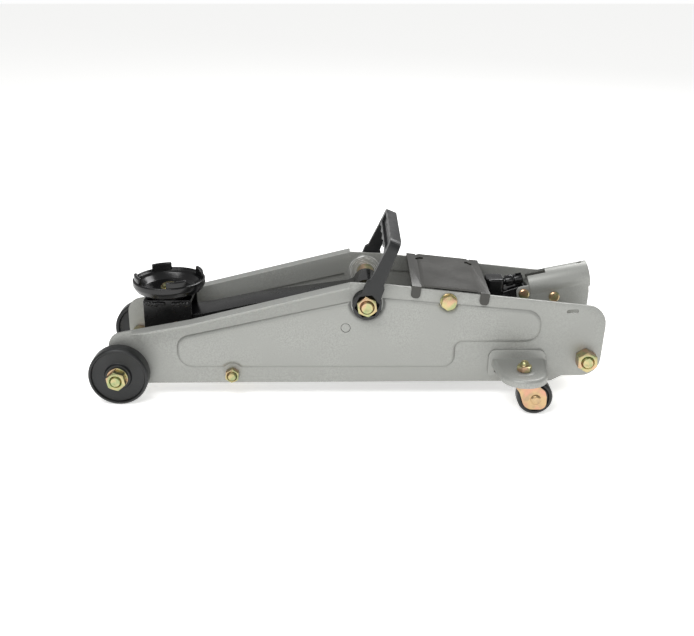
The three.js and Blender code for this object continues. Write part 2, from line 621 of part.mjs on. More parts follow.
function pumpBlock() {
  const beamX = PIVOT_X + SIDE_BOLT_X;
  const half = BLOCK_HALF_WIDTH;
  const tower = VALVE_TOWER_LENGTH;
  const inside = HALF_WIDTH - TOUCH;
  const beamTop = topEdgeZ(BLOCK_FRONT + 8) - 2;
  const ear = capsule({ x: BLOCK_REAR - 4, z: SOCKET_PIVOT_Z - 6 },
    { x: SOCKET_PIVOT_X, z: SOCKET_PIVOT_Z }, 8);
  const body = join(
    box([BLOCK_FRONT, -half, BLOCK_BASE_Z], [BLOCK_REAR, half, BLOCK_TOP_Z]),
    box([beamX - 14, -inside, BLOCK_TOP_Z - 4], [BLOCK_FRONT + 8, inside, beamTop]),
    box([BLOCK_REAR - 1, -18, BLOCK_BASE_Z], [ROLLER_X + 17, 18, PLUNGER_HOUSING_TOP - 9]),
    rodZ(12, ROLLER_X, 0, PLUNGER_HOUSING_TOP - 12, PLUNGER_HOUSING_TOP, 18),
    box([BLOCK_REAR - 8 - tower, -12, BLOCK_TOP_Z - 2], [BLOCK_REAR - 8, 12, BLOCK_TOP_Z + 17]),
    slab(ear, -EAR_HALF_WIDTH, EAR_HALF_WIDTH),
    box([BLOCK_FRONT, -half - 11, RAM_Z - 8], [BLOCK_FRONT + 8, half + 11, RAM_Z + 8]),
  );
  const boltHole = (side) => rodY(SIDE_BOLT.thread + TOUCH, beamX, SIDE_BOLT_Z,
    side * (HALF_WIDTH - 16), side * (HALF_WIDTH + 2), 12);
  return cut(
    body,
    boltHole(-1),
    boltHole(1),
    rodY(PIN_RADIUS + RUNNING, SOCKET_PIVOT_X, SOCKET_PIVOT_Z, -12, 12, 16),
    rodZ(PLUNGER_RADIUS + 0.1, ROLLER_X, 0, BLOCK_BASE_Z + 5, PLUNGER_HOUSING_TOP + 5, 18),
    valveAxis(rodX(4 + TOUCH, 0, 0, -14, 8, 14)),
  );
}

// The release valve's axis rises to the rear with the socket, from the tower's rear face.
function valveAxis(geometry) {
  return geometry.rotateY(-SOCKET_TILT).translate(BLOCK_REAR - 8, 0, BLOCK_TOP_Z + 11);
}

function releaseValve() {
  const stem = rodX(4, 0, 0, -12, 8, 14);
  const collar = rodX(6.3, 0, 0, 2.5, 11, 14);
  const fork = cut(rodX(6.3, 0, 0, 10, 22, 14), box([14.5, -3.2, -8], [23, 3.2, 8]));
  return valveAxis(join(stem, collar, fork));
}

function ram() {
  const front = RAM_PIN_X - 14;
  return cut(
    rodX(RAM_RADIUS, 0, RAM_Z, front, TANK_FRONT + TANK_LENGTH - 1, 24),
    rodY(RAM_PIN_RADIUS + TOUCH, RAM_PIN_X, RAM_Z, -RAM_RADIUS - 2, RAM_RADIUS + 2, 16),
  );
}

function hydraulicUnit() {
  const tankTop = RAM_Z + TANK_RADIUS;
  const pinEnd = BLOCK_HALF_WIDTH + 12;
  const springY = BLOCK_HALF_WIDTH + 1 + SPRING_RADIUS;
  const springFrom = RAM_PIN_X + RAM_PIN_RADIUS + TOUCH;
  const springTo = BLOCK_FRONT - TOUCH;
  const spring = (side) => {
    const [outer, inner] = [SPRING_RADIUS, SPRING_RADIUS - SPRING_WIRE];
    const profile = [[inner, -springTo], [outer, -springTo], [outer, -springFrom], [inner, -springFrom]];
    return turned(profile, 12).rotateZ(Math.PI / 2).translate(0, side * springY, RAM_Z);
  };
  const plungerBottom = BLOCK_BASE_Z + 6;
  const plungerTop = ROLLER_Z - ROLLER_RADIUS - TOUCH;
  const plungerSpring = turned([
    [PLUNGER_RADIUS + 0.5, 0], [PLUNGER_RADIUS + 2.6, 0],
    [PLUNGER_RADIUS + 2.6, plungerTop - 3.5 - PLUNGER_HOUSING_TOP],
    [PLUNGER_RADIUS + 0.5, plungerTop - 3.5 - PLUNGER_HOUSING_TOP],
  ], 14).rotateX(Math.PI / 2).translate(ROLLER_X, 0, PLUNGER_HOUSING_TOP + TOUCH);
  return [
    piece('pump_block', pumpBlock(), 'black'),
    piece('reservoir', reservoir(), 'black'),
    piece('filler_plug', rodZ(5, TANK_FRONT + 14, 0, tankTop + TOUCH, tankTop + 5, 6), 'zinc'),
    piece('ram', ram(), 'steel'),
    piece('ram_pin', rodY(RAM_PIN_RADIUS, RAM_PIN_X, RAM_Z, -pinEnd, pinEnd, 16), 'zinc'),
    piece('return_spring_left', spring(-1), 'steel'),
    piece('return_spring_right', spring(1), 'steel'),
    piece('pump_plunger', join(
      rodZ(PLUNGER_RADIUS, ROLLER_X, 0, plungerBottom, plungerTop, 18),
      rodZ(PLUNGER_RADIUS + 2.6, ROLLER_X, 0, plungerTop - 3, plungerTop, 18),
    ), 'steel'),
    piece('plunger_spring', plungerSpring, 'steel'),
    piece('release_valve', releaseValve(), 'black'),
  ];
}

// ---- handle socket ---------------------------------------------------------------------------

// Built level with its pivot at the origin, then tilted and carried to the pump block.
function handleSocket() {
  const outer = SOCKET_RADIUS;
  const bore = SOCKET_RADIUS - SOCKET_WALL;
  const axis = SOCKET_AXIS_OFFSET;
  const front = SOCKET_FRONT;
  const mouth = SOCKET_FRONT + SOCKET_LENGTH;
  const cheekOuter = CHEEK_INNER + CHEEK_WALL;
  const cheek = outline([
    [-8, axis + 1], [-8, -7], [-3, -12], [front + 10, -13], [mouth - 24, -26], [mouth - 8, -31],
    [mouth - 3, -12], [mouth - 2, axis + 1],
  ]);
  const shell = join(
    rodX(outer, 0, axis, front, mouth, 24),
    ...Object.values(SIDES).map((side) => slab(cheek, side * CHEEK_INNER, side * cheekOuter)),
  );
  const hollow = cut(
    shell,
    rodX(bore, 0, axis, front - 15, mouth + 5, 24),
    box([-20, -CHEEK_INNER, -40], [mouth - 26, CHEEK_INNER, axis]),
    box([-20, -7.6, axis], [front + 21, 7.6, axis + outer + 5]),
    rodY(PIN_RADIUS + TOUCH, 0, 0, -20, 20, 14),
    rodZ(2.3, mouth - 8, 0, axis + 5, axis + outer + 3, 12),
  );
  const centre = new THREE.Vector2();
  const roller = new THREE.Vector2(ROLLER_REACH, -ROLLER_DROP).rotateAround(centre, -SOCKET_TILT);
  return cut(hollow, rodY(PIN_RADIUS + TOUCH, roller.x, roller.y, -20, 20, 14));
}

function headedPin() {
  const outer = CHEEK_INNER + CHEEK_WALL;
  return join(
    rodY(PIN_RADIUS, 0, 0, -outer - 3, outer + 3, 14),
    rodY(PIN_HEAD_RADIUS, 0, 0, -outer - 3.5, -outer - TOUCH, 14),
    rodY(PIN_HEAD_RADIUS, 0, 0, outer + TOUCH, outer + 3.5, 14),
  );
}

function rollerPin() {
  const half = CHEEK_INNER - TOUCH;
  return join(headedPin(), rodY(ROLLER_RADIUS, 0, 0, -half, half));
}

function socketGroup() {
  const group = new THREE.Group();
  group.position.set(SOCKET_PIVOT_X, 0, SOCKET_PIVOT_Z);
  const socket = piece('handle_socket', handleSocket(), 'silver');
  socket.rotation.y = -SOCKET_TILT;
  const roller = piece('roller_pin', rollerPin(), 'zinc');
  roller.position.set(ROLLER_REACH, 0, -ROLLER_DROP);
  group.add(socket, piece('socket_pivot_pin', headedPin(), 'zinc'), roller);
  return group;
}

// ---- carry handle ----------------------------------------------------------------------------

// Built upright on its pivot: two bosses with nut recesses, two tapering arms and a channel grip.
function carryHandle() {
  const bossInner = PLATE_OUTER - DISH_DEPTH + TOUCH;
  const armInner = PANEL_OUTER + 1;
  const armOuter = PLATE_OUTER + 11;
  const gripLow = HANDLE_REACH - GRIP_DEPTH;
  const half = GRIP_THICKNESS / 2;
  const arm = outline([
    [-10, 6], [10, 6], [9, 26], [6.5, 28], [half, HANDLE_REACH - 4], [half - 3, HANDLE_REACH],
    [-half + 3, HANDLE_REACH], [-half, HANDLE_REACH - 4], [-8, 28], [-10.5, 26],
  ]);
  const sides = Object.values(SIDES).map((side) => join(
    rodY(HANDLE_BOSS_RADIUS, 0, 0, side * bossInner, side * armOuter, 24),
    slab(arm, side * armInner, side * armOuter),
  ));
  const grip = cut(
    box([-half, -armOuter, gripLow], [half, armOuter, HANDLE_REACH]),
    box([-half + 3, -armInner + 3, gripLow - 1], [half - 3, armInner - 3, HANDLE_REACH - 3]),
  );
  const recesses = Object.values(SIDES).flatMap((side) => [
    rodY(12.9, 0, 0, side * (PLATE_OUTER + RECESS_FLOOR), side * (armOuter + 1)),
    rodY(SHAFT_THREAD + RUNNING, 0, 0, side * (bossInner - 1), side * (armOuter + 1), 14),
  ]);
  return cut(join(...sides, grip), ...recesses);
}

// ---- cover plate -----------------------------------------------------------------------------

function coverPlate() {
  const seat = (x) => topEdgeZ(x) + TOUCH;
  const sheet = outline([
    [COVER_FRONT, seat(COVER_FRONT)], [COVER_REAR, seat(COVER_REAR)],
    [COVER_REAR, seat(COVER_REAR) + COVER_SHEET], [COVER_FRONT, seat(COVER_FRONT) + COVER_SHEET],
  ]);
  const inner = PLATE_OUTER + TOUCH;
  const hooks = Object.values(SIDES).flatMap((side) => [COVER_FRONT, COVER_REAR - 10].map((x) => {
    const rear = x + 10;
    const hook = outline([
      [x, seat(x) + 1], [x, seat(x) - 9], [x + 2, seat(x) - 12], [rear - 2, seat(rear) - 12],
      [rear, seat(rear) - 9], [rear, seat(rear) + 1],
    ]);
    return slab(hook, side * inner, side * (inner + COVER_SHEET));
  }));
  const slots = [COVER_FRONT + 15, COVER_REAR - 14].map((x) => (
    box([x - 3.5, HALF_WIDTH - 16, 90], [x + 3.5, HALF_WIDTH - 11, 150])
  ));
  return cut(
    join(slab(sheet, -inner - COVER_SHEET, inner + COVER_SHEET), ...hooks),
    ...slots,
  );
}

// ---- casters ---------------------------------------------------------------------------------

function casterBracket(side) {
  const wall = outline([
    [CASTER_X - 34, 26], [CASTER_X + 33, 26], [CASTER_X + 29, 50], [CASTER_X + 24, 56],
    [CASTER_X - 28, 56], [CASTER_X - 33, 50],
  ]);
  const shelf = (inset) => {
    const shape = new THREE.Shape();
    shape.moveTo(CASTER_X - 30 + inset, PLATE_OUTER + 1);
    shape.lineTo(CASTER_X + 30 - inset, PLATE_OUTER + 1);
    shape.lineTo(CASTER_X + SHELF_RADIUS - inset, CASTER_Y);
    shape.absarc(CASTER_X, CASTER_Y, SHELF_RADIUS - inset, 0, Math.PI);
    shape.closePath();
    return shape;
  };
  const bracket = cut(
    join(
      slab(wall, PLATE_OUTER + TOUCH, PLATE_OUTER + TOUCH + 3),
      layer(shelf(0), SHELF_Z - 6, SHELF_Z + 3, 10),
      rodZ(9.5, CASTER_X, CASTER_Y, SHELF_Z + 2, SHELF_Z + 4.2, 18),
    ),
    cut(
      layer(shelf(3), SHELF_Z - 20, SHELF_Z, 10),
      box([CASTER_X - 50, PLATE_OUTER - 5, 0], [CASTER_X + 50, PLATE_OUTER + TOUCH + 3, 100]),
    ),
    box([CASTER_X - 50, PLATE_OUTER - 5, 0], [CASTER_X + 50, PLATE_OUTER + TOUCH, 100]),
    rodZ(5 + TOUCH, CASTER_X, CASTER_Y, SHELF_Z - 10, SHELF_Z + 10, 14),
  );
  return side > 0 ? bracket : mirrored(bracket);
}

function mirrored(geometry) {
  const copy = geometry.clone().scale(1, -1, 1);
  flipWinding(copy);
  return copy;
}

function casterFork() {
  const cheekInner = CASTER_WIDTH / 2 + 1.5;
  const cheekOuter = cheekInner + FORK_WALL;
  const webTop = SHELF_Z - TOUCH;
  const webLow = webTop - 2.8;
  const cheek = new THREE.Shape();
  cheek.moveTo(-14, webTop);
  cheek.lineTo(-13.5, webLow - 4);
  cheek.lineTo(CASTER_TRAIL - 10.5, CASTER_RADIUS - 6);
  cheek.absarc(CASTER_TRAIL, CASTER_RADIUS - 1, 11.5, 1.12 * Math.PI, 0.15 * Math.PI, false);
  cheek.lineTo(14.5, webLow - 6);
  cheek.lineTo(13.5, webTop);
  const cheeks = Object.values(SIDES).map((side) => slab(cheek, side * cheekInner, side * cheekOuter));
  return cut(
    join(...cheeks, box([-14, -cheekOuter, webLow], [13.5, cheekOuter, webTop])),
    rodZ(4.8 + TOUCH, 0, 0, webLow - 1, webTop + 1, 14),
    rodY(3.3 + 0.1, CASTER_TRAIL, CASTER_RADIUS, -cheekOuter - 1, cheekOuter + 1, 12),
  );
}

function casterWheel() {
  const half = CASTER_WIDTH / 2;
  const r = CASTER_RADIUS;
  return wheelTurned([
    [3.6, -half], [r - 4, -half + 0.5], [r - 1.4, -half + 2], [r, -half + 6],
    [r, half - 6], [r - 1.4, half - 2], [r - 4, half - 0.5], [3.6, half],
  ], 20);
}

function casterStud() {
  const seat = SHELF_Z + 4.2 + TOUCH;
  return join(
    rodZ(4.8, 0, 0, SHELF_Z - 2.8, seat + 10.5, 14),
    rodZ(14 / Math.sqrt(3), 0, 0, seat, seat + 7.8, 6),
  );
}

function casterAxle() {
  const outer = CASTER_WIDTH / 2 + 1.5 + FORK_WALL;
  return join(
    rodY(3.3, 0, 0, -outer - 1, outer + 1, 12),
    rodY(5.5, 0, 0, -outer - 2.4, -outer - TOUCH, 12),
    rodY(5.5, 0, 0, outer + TOUCH, outer + 2.4, 12),
  );
}

function caster(name, side) {
  const group = new THREE.Group();
  group.position.set(CASTER_X, side * CASTER_Y, 0);
  const wheel = piece(`caster_wheel_${name}`, casterWheel(), 'plastic');
  const axle = piece(`caster_axle_${name}`, casterAxle(), 'zinc');
  for (const mesh of [wheel, axle]) {
    mesh.position.set(CASTER_TRAIL, 0, CASTER_RADIUS);
  }
  group.add(
    piece(`caster_fork_${name}`, casterFork(), 'zinc'),
    piece(`caster_stud_${name}`, casterStud(), 'zinc'),
    wheel,
    axle,
  );
  return group;
}

// ---- the jack --------------------------------------------------------------------------------

const jack = new THREE.Group();
jack.position.x = -(FRAME_END - WHEEL_RADIUS) / 2;

for (const [name, side] of Object.entries(SIDES)) {
  const wheel = piece(`front_wheel_${name}`, frontWheel(side), 'plastic');
  wheel.position.z = WHEEL_RADIUS;
  jack.add(
    piece(`side_plate_${name}`, sidePlate(side), 'silver'),
    wheel,
    piece(`levelling_rod_${name}`, levellingRod(side), 'black'),
    piece(`caster_bracket_${name}`, casterBracket(side), 'silver'),
    caster(name, side),
  );
}

const saddlePieces = new THREE.Group();
saddlePieces.position.set(SADDLE_X, 0, BRACKET_TOP_Z + TOUCH);
const saddleNut = nut(0, 0, SADDLE_NUT, SADDLE_NUT.thread, 0, 1).rotateX(Math.PI / 2);
saddleNut.translate(0, 0, -BRACKET_WALL - 2 * TOUCH - SADDLE_NUT.height);
saddlePieces.add(
  piece('saddle', saddle(), 'black'),
  piece('saddle_bolt', saddleBolt(), 'zinc'),
  piece('saddle_nut', saddleNut, 'zinc'),
);

const tipPinEnd = BRACKET_OUTER + 3;
const handle = piece('carry_handle', carryHandle(), 'plastic');
handle.position.set(PIVOT_X, 0, PIVOT_Z);
handle.rotation.y = HANDLE_LEAN;

jack.add(
  ...crossParts(),
  piece('lift_arm', liftArm(), 'black'),
  piece('arm_tip_pin', rodY(PIN_RADIUS + 1, ARM_TIP.x, ARM_TIP.z, -tipPinEnd, tipPinEnd), 'zinc'),
  piece('saddle_bracket', saddleBracket(), 'black'),
  piece('link_pin', rodY(PIN_RADIUS, LINK_END.x, LINK_END.z, -ROD_OUTER - 2, ROD_OUTER + 2), 'zinc'),
  saddlePieces,
  ...hydraulicUnit(),
  socketGroup(),
  handle,
  piece('cover_plate', coverPlate(), 'black'),
);

export default jack;
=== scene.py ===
# A hydraulic floor jack, lowered, with its saddle towards -X and its handle socket towards +X.
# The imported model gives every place. Lengths are in millimetres, turned to metres by MM.
import math

import bmesh
import bpy
from mathutils import Matrix, Vector


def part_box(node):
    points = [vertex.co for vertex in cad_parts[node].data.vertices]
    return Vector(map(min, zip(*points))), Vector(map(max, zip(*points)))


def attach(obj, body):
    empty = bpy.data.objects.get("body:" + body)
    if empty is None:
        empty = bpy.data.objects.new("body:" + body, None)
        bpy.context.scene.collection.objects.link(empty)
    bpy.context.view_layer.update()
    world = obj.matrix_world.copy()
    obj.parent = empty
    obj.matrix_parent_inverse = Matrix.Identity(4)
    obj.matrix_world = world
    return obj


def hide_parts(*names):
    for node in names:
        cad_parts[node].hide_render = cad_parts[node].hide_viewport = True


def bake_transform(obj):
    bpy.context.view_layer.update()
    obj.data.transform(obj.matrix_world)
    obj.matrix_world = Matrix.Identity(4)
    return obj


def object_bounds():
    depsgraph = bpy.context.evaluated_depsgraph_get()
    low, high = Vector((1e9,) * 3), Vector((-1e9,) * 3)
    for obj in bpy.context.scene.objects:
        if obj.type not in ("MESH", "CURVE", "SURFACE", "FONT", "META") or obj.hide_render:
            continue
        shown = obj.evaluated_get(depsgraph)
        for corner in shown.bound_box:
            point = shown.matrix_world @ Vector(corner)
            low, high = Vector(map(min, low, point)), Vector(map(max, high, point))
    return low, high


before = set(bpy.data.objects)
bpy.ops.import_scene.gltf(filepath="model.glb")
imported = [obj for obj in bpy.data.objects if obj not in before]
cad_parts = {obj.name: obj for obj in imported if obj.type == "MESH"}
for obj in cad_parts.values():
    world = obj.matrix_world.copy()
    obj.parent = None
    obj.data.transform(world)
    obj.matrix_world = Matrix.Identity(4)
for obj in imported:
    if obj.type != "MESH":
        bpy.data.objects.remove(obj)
cad_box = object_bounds()
MM = 0.001

# ---- Camera, lights and floor ------------------------------------------------------------------
# A product view from the jack's left side, a little above it, on a white sweep with broad soft
# lights, so that black enamel shows long pale reflections and the shadow stays faint.

VIEW_CENTRE = Vector((-0.9, 0, 70.8)) * MM
VIEW_DISTANCE = 1172.6 * MM
VIEW_HEIGHT = math.radians(21)
VIEW_LENS = 53.2

bpy.ops.object.select_all(action="DESELECT")
sight = Vector((0, -math.cos(VIEW_HEIGHT), math.sin(VIEW_HEIGHT)))
bpy.ops.object.camera_add(
    location=VIEW_CENTRE + sight * VIEW_DISTANCE,
    rotation=(math.pi / 2 - VIEW_HEIGHT, 0, 0),
)
camera = bpy.context.object
camera.data.lens = VIEW_LENS
camera.data.clip_start = 0.01
bpy.context.scene.camera = camera


def soft_light(place, aim, width, height, watts):
    """An area light of width by height metres at place, shining at aim."""
    turn = (Vector(aim) - Vector(place)).to_track_quat("-Z", "Y").to_euler()
    bpy.ops.object.light_add(type="AREA", location=place, rotation=turn)
    light = bpy.context.object.data
    light.shape = "RECTANGLE"
    light.size = width
    light.size_y = height
    light.energy = watts


soft_light((-0.5, -1.0, 1.5), (0, 0, 0.05), 1.2, 0.8, 19)
soft_light((0.7, 0.9, 1.4), (0, 0, 0.05), 1.4, 0.7, 21)
soft_light((0.1, -1.7, 0.5), (0, 0, 0.08), 1.2, 0.6, 2.5)

world = bpy.data.worlds.new("studio")
bpy.context.scene.world = world
world.use_nodes = True
world.node_tree.nodes["Background"].inputs["Color"].default_value = (1, 1, 1, 1)
lit_by = world.node_tree.nodes.new("ShaderNodeLightPath")
sky = world.node_tree.nodes.new("ShaderNodeMapRange")
sky.inputs["To Min"].default_value = 0.36
sky.inputs["To Max"].default_value = 1.0
world.node_tree.links.new(lit_by.outputs["Is Camera Ray"], sky.inputs["Value"])
world.node_tree.links.new(sky.outputs[0], world.node_tree.nodes["Background"].inputs["Strength"])
bpy.context.scene.view_settings.view_transform = "Standard"

bpy.ops.mesh.primitive_plane_add(size=12, location=(0, 0, cad_box[0][2] - 0.2 * MM))
floor = bpy.context.object
floor.name = "floor"


def linear(hex_colour):
    """A six-digit sRGB hex colour as linear red, green, blue and alpha."""
    parts = [int(hex_colour[i : i + 2], 16) / 255 for i in (0, 2, 4)]
    return [c / 12.92 if c <= 0.04045 else ((c + 0.055) / 1.055) ** 2.4 for c in parts] + [1.0]


def material(name):
    """A new material, its node tree and its shader."""
    made = bpy.data.materials.new(name)
    made.use_nodes = True
    tree = made.node_tree
    return made, tree, tree.nodes["Principled BSDF"]


def put(tree, kind, inputs=None, **settings):
    """Adds a node, sets its settings, and gives each named input a value or a link."""
    made = tree.nodes.new("ShaderNode" + kind)
    for key, value in settings.items():
        setattr(made, key, value)
    for key, value in (inputs or {}).items():
        if isinstance(value, bpy.types.NodeSocket):
            tree.links.new(value, made.inputs[key])
        else:
            made.inputs[key].default_value = value
    return made


def noise(tree, coords, size, detail):
    """Noise with grains of size millimetres."""
    return put(tree, "TexNoise", {"Vector": coords, "Scale": 1 / (size * MM), "Detail": detail})


def spread(tree, value, low, high, start=0.0, end=1.0):
    """The value, its low to high spread from start to end."""
    return put(tree, "MapRange", {0: value, 1: low, 2: high, 3: start, 4: end})


def tinted(tree, amount, low, high):
    """The colour from low to high by amount."""
    return put(tree, "Mix", {0: amount, 6: low, 7: high}, data_type="RGBA")


# White paper sweep: matt, with no pattern of its own.
paper, tree, shader = material("white_paper")
shader.inputs["Base Color"].default_value = linear("F6F6F5")
shader.inputs["Roughness"].default_value = 0.9
shader.inputs["Emission Color"].default_value = linear("F6F6F5")
shader.inputs["Emission Strength"].default_value = 0.62
floor.data.materials.append(paper)

# ---- Side plates -------------------------------------------------------------------------------
# Two mirrored pressings of 3 mm steel sheet. Each has a raised panel for stiffness, its sloping
# edge turned outwards, and a dish round the main pivot that holds the lift arm in the middle.
# They are sprayed with silver stove enamel, which gives a satin face with a fine metal flake.

AXLE_X = (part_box("front_axle_rod")[0][0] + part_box("front_axle_rod")[1][0]) / 2
PLATE_INNER = 54
PLATE_OUTER = 57
PANEL_OUTER = 59.5
FLANGE_OUTER = 71
APEX = (252, 133)
PIVOT = (270, 110)
SIDE_BOLT = (358, 112)
FRONT_TIE = (122, 27)
REAR_TIE = (510.3, 46)
LINK_ANCHOR = (247, 82)
AXLE = (0, 32.5)


def place(x, y, z):
    """A point from its distance behind the front axle, across and up, in millimetres."""
    return Vector((AXLE_X + x * MM, y * MM, z * MM))


def in_middle(spot):
    """The point of an (x, z) spot that lies half-way across the jack."""
    return place(spot[0], 0, spot[1])


def rounded(corners, steps=6):
    """An outline from (a, b, radius) corners, each turned with an arc of that radius."""
    points = []
    for i, (a, b, radius) in enumerate(corners):
        here = Vector((a, b))
        before = Vector(corners[i - 1][:2]) - here
        after = Vector(corners[(i + 1) % len(corners)][:2]) - here
        if radius == 0:
            points.append((a, b))
            continue
        half = before.angle(after) / 2
        reach = min(radius / math.tan(half), 0.49 * before.length, 0.49 * after.length)
        first = here + before.normalized() * reach
        inwards = (before.normalized() + after.normalized()).normalized()
        middle = here + inwards * (reach / math.cos(half))
        start = first - middle
        sweep = start.angle_signed(here + after.normalized() * reach - middle, 0)
        for step in range(steps + 1):
            turned_by = Matrix.Rotation(-sweep * step / steps, 2)
            points.append(tuple(middle + turned_by @ start))
    return points


def solid(points, low, high, lay):
    """A closed solid: an outline from a filled circle, laid by lay(a, b, height), then extruded."""
    bpy.ops.object.select_all(action="DESELECT")
    bpy.ops.mesh.primitive_circle_add(vertices=len(points), fill_type="NGON")
    piece = bpy.context.object
    for vertex, (a, b) in zip(piece.data.vertices, points):
        vertex.co = lay(a, b, low)
    shift = lay(0, 0, high) - lay(0, 0, low)
    bpy.ops.object.location_clear()
    bpy.ops.object.mode_set(mode="EDIT")
    bpy.ops.mesh.select_all(action="SELECT")
    bpy.ops.mesh.extrude_region_move(TRANSFORM_OT_translate={"value": shift})
    bpy.ops.mesh.select_all(action="SELECT")
    bpy.ops.mesh.normals_make_consistent(inside=False)
    bpy.ops.object.mode_set(mode="OBJECT")
    return piece


def across(a, b, height):
    """Lays an outline drawn in X and Z, with its thickness across the jack."""
    return place(a, height, b)


def upward(a, b, height):
    """Lays an outline drawn in X and Y, with its thickness upwards."""
    return place(a, b, height)


def spun(profile, centre, axis, steps=64):
    """A turned solid: (radius, distance along axis) points from a circle, spun about the axis.

    A profile that starts and ends on the axis is left open there, and any other is a ring.
    """
    axis = Vector(axis).normalized()
    side = axis.orthogonal().normalized()
    bpy.ops.object.select_all(action="DESELECT")
    bpy.ops.mesh.primitive_circle_add(vertices=len(profile), fill_type="NOTHING")
    piece = bpy.context.object
    for vertex, (radius, along) in zip(piece.data.vertices, profile):
        vertex.co = centre + (side * radius + axis * along) * MM
    bpy.ops.object.location_clear()
    bpy.ops.object.mode_set(mode="EDIT")
    if profile[0][0] == 0 and profile[-1][0] == 0:
        mesh = bmesh.from_edit_mesh(piece.data)
        mesh.edges.ensure_lookup_table()
        last = [e for e in mesh.edges if {v.index for v in e.verts} == {0, len(profile) - 1}]
        bmesh.ops.delete(mesh, geom=last, context="EDGES")
        bmesh.update_edit_mesh(piece.data)
    bpy.ops.mesh.select_all(action="SELECT")
    bpy.ops.mesh.spin(steps=steps, angle=2 * math.pi, center=centre, axis=axis)
    bpy.ops.mesh.select_all(action="SELECT")
    bpy.ops.mesh.remove_doubles(threshold=1e-6)
    bpy.ops.mesh.normals_make_consistent(inside=False)
    bpy.ops.object.mode_set(mode="OBJECT")
    return piece


def rod(radius, start, end, steps=48):
    """A plain round bar between two points, as a tool for cutting or joining."""
    length = (end - start).length
    bpy.ops.object.select_all(action="DESELECT")
    bpy.ops.mesh.primitive_cylinder_add(vertices=steps, radius=radius * MM, depth=length)
    piece = bpy.context.object
    turn = (end - start).to_track_quat("Z", "Y").to_matrix().to_4x4()
    piece.data.transform(Matrix.Translation((start + end) / 2) @ turn)
    return piece


def combine(piece, *tools, operation="UNION"):
    """Joins the tools to a piece, or cuts them out of it, and removes them."""
    for tool in tools:
        change = piece.modifiers.new("combine", "BOOLEAN")
        change.operation = operation
        change.solver = "EXACT"
        change.object = tool
        bpy.context.view_layer.objects.active = piece
        bpy.ops.object.modifier_apply(modifier=change.name)
        bpy.data.objects.remove(tool)
    return piece


def cut(piece, *tools):
    return combine(piece, *tools, operation="DIFFERENCE")


# Edges that turn by more than SHARP degrees can be rounded, and faces that meet at less than
# SMOOTH_BELOW degrees are shaded as one.
SHARP = 60
SMOOTH_BELOW = 32


def round_edges(piece, radius, steps, test):
    """Rounds the edges that pass the test, which is given an edge's middle in mm and its angle."""
    bpy.context.view_layer.objects.active = piece
    bpy.ops.object.mode_set(mode="EDIT")
    bpy.ops.mesh.select_mode(type="EDGE")
    bpy.ops.mesh.select_all(action="DESELECT")
    mesh = bmesh.from_edit_mesh(piece.data)
    for edge in mesh.edges:
        middle = (edge.verts[0].co + edge.verts[1].co) / 2
        spot = Vector(((middle.x - AXLE_X) / MM, middle.y / MM, middle.z / MM))
        edge.select_set(test(spot, math.degrees(edge.calc_face_angle(0))))
    bmesh.update_edit_mesh(piece.data)
    bpy.ops.mesh.bevel(offset=radius * MM, segments=steps, affect="EDGES", clamp_overlap=True)
    bpy.ops.mesh.select_all(action="SELECT")
    bpy.ops.mesh.remove_doubles(threshold=1e-6)
    bpy.ops.object.mode_set(mode="OBJECT")


def mirrored(piece):
    """A copy on the jack's other side, with its own mesh."""
    twin = piece.copy()
    twin.data = piece.data.copy()
    bpy.context.collection.objects.link(twin)
    twin.data.transform(Matrix.Scale(-1, 4, (0, 1, 0)))
    twin.data.flip_normals()
    return twin


def finish(piece, name, finish_material, body, node):
    """Names a finished piece, gives it its material, and has it stand for its node and ride."""
    bpy.ops.object.select_all(action="DESELECT")
    piece.select_set(True)
    bpy.context.view_layer.objects.active = piece
    bpy.ops.object.shade_smooth_by_angle(angle=math.radians(SMOOTH_BELOW))
    piece.name = name
    piece.data.name = name
    piece.data.materials.clear()
    piece.data.materials.append(finish_material)
    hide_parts(node)
    if body:
        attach(piece, body)


def finish_pair(right, name, finish_material, body, node):
    """Finishes a right-hand piece and its mirrored twin. A body that has sides ends in _."""
    left = mirrored(right)
    for piece, side in ((right, "right"), (left, "left")):
        rides = body + side if body.endswith("_") else body
        finish(piece, f"{name}_{side}", finish_material, rides, f"{node}_{side}")


# Stove enamel with metal flake: a satin silver grey with a fine grain, drawn at 1.6 mm so that it
# shows, a slight cloudiness, and orange peel that breaks up the highlights.
FLAKE = 1.6
CLOUD = 55
silver_enamel, tree, shader = material("silver_stove_enamel")
coords = put(tree, "TexCoord").outputs["Object"]
flake = noise(tree, coords, FLAKE, 3.0)
cloud = noise(tree, coords, CLOUD, 3.0)
grain = spread(tree, flake.outputs[0], 0.35, 0.65)
tone = spread(tree, cloud.outputs[0], 0.35, 0.65)
speckle = tinted(tree, grain.outputs[0], linear("92938F"), linear("A3A4A0"))
dulled = tinted(tree, tone.outputs[0], speckle.outputs[2], linear("999A96"))
peel = put(tree, "Bump", {"Height": flake.outputs[0], "Strength": 0.12, "Distance": 0.4 * MM})
tree.links.new(peel.outputs[0], shader.inputs["Normal"])
shader.inputs["Metallic"].default_value = 0.35
shader.inputs["Roughness"].default_value = 0.46

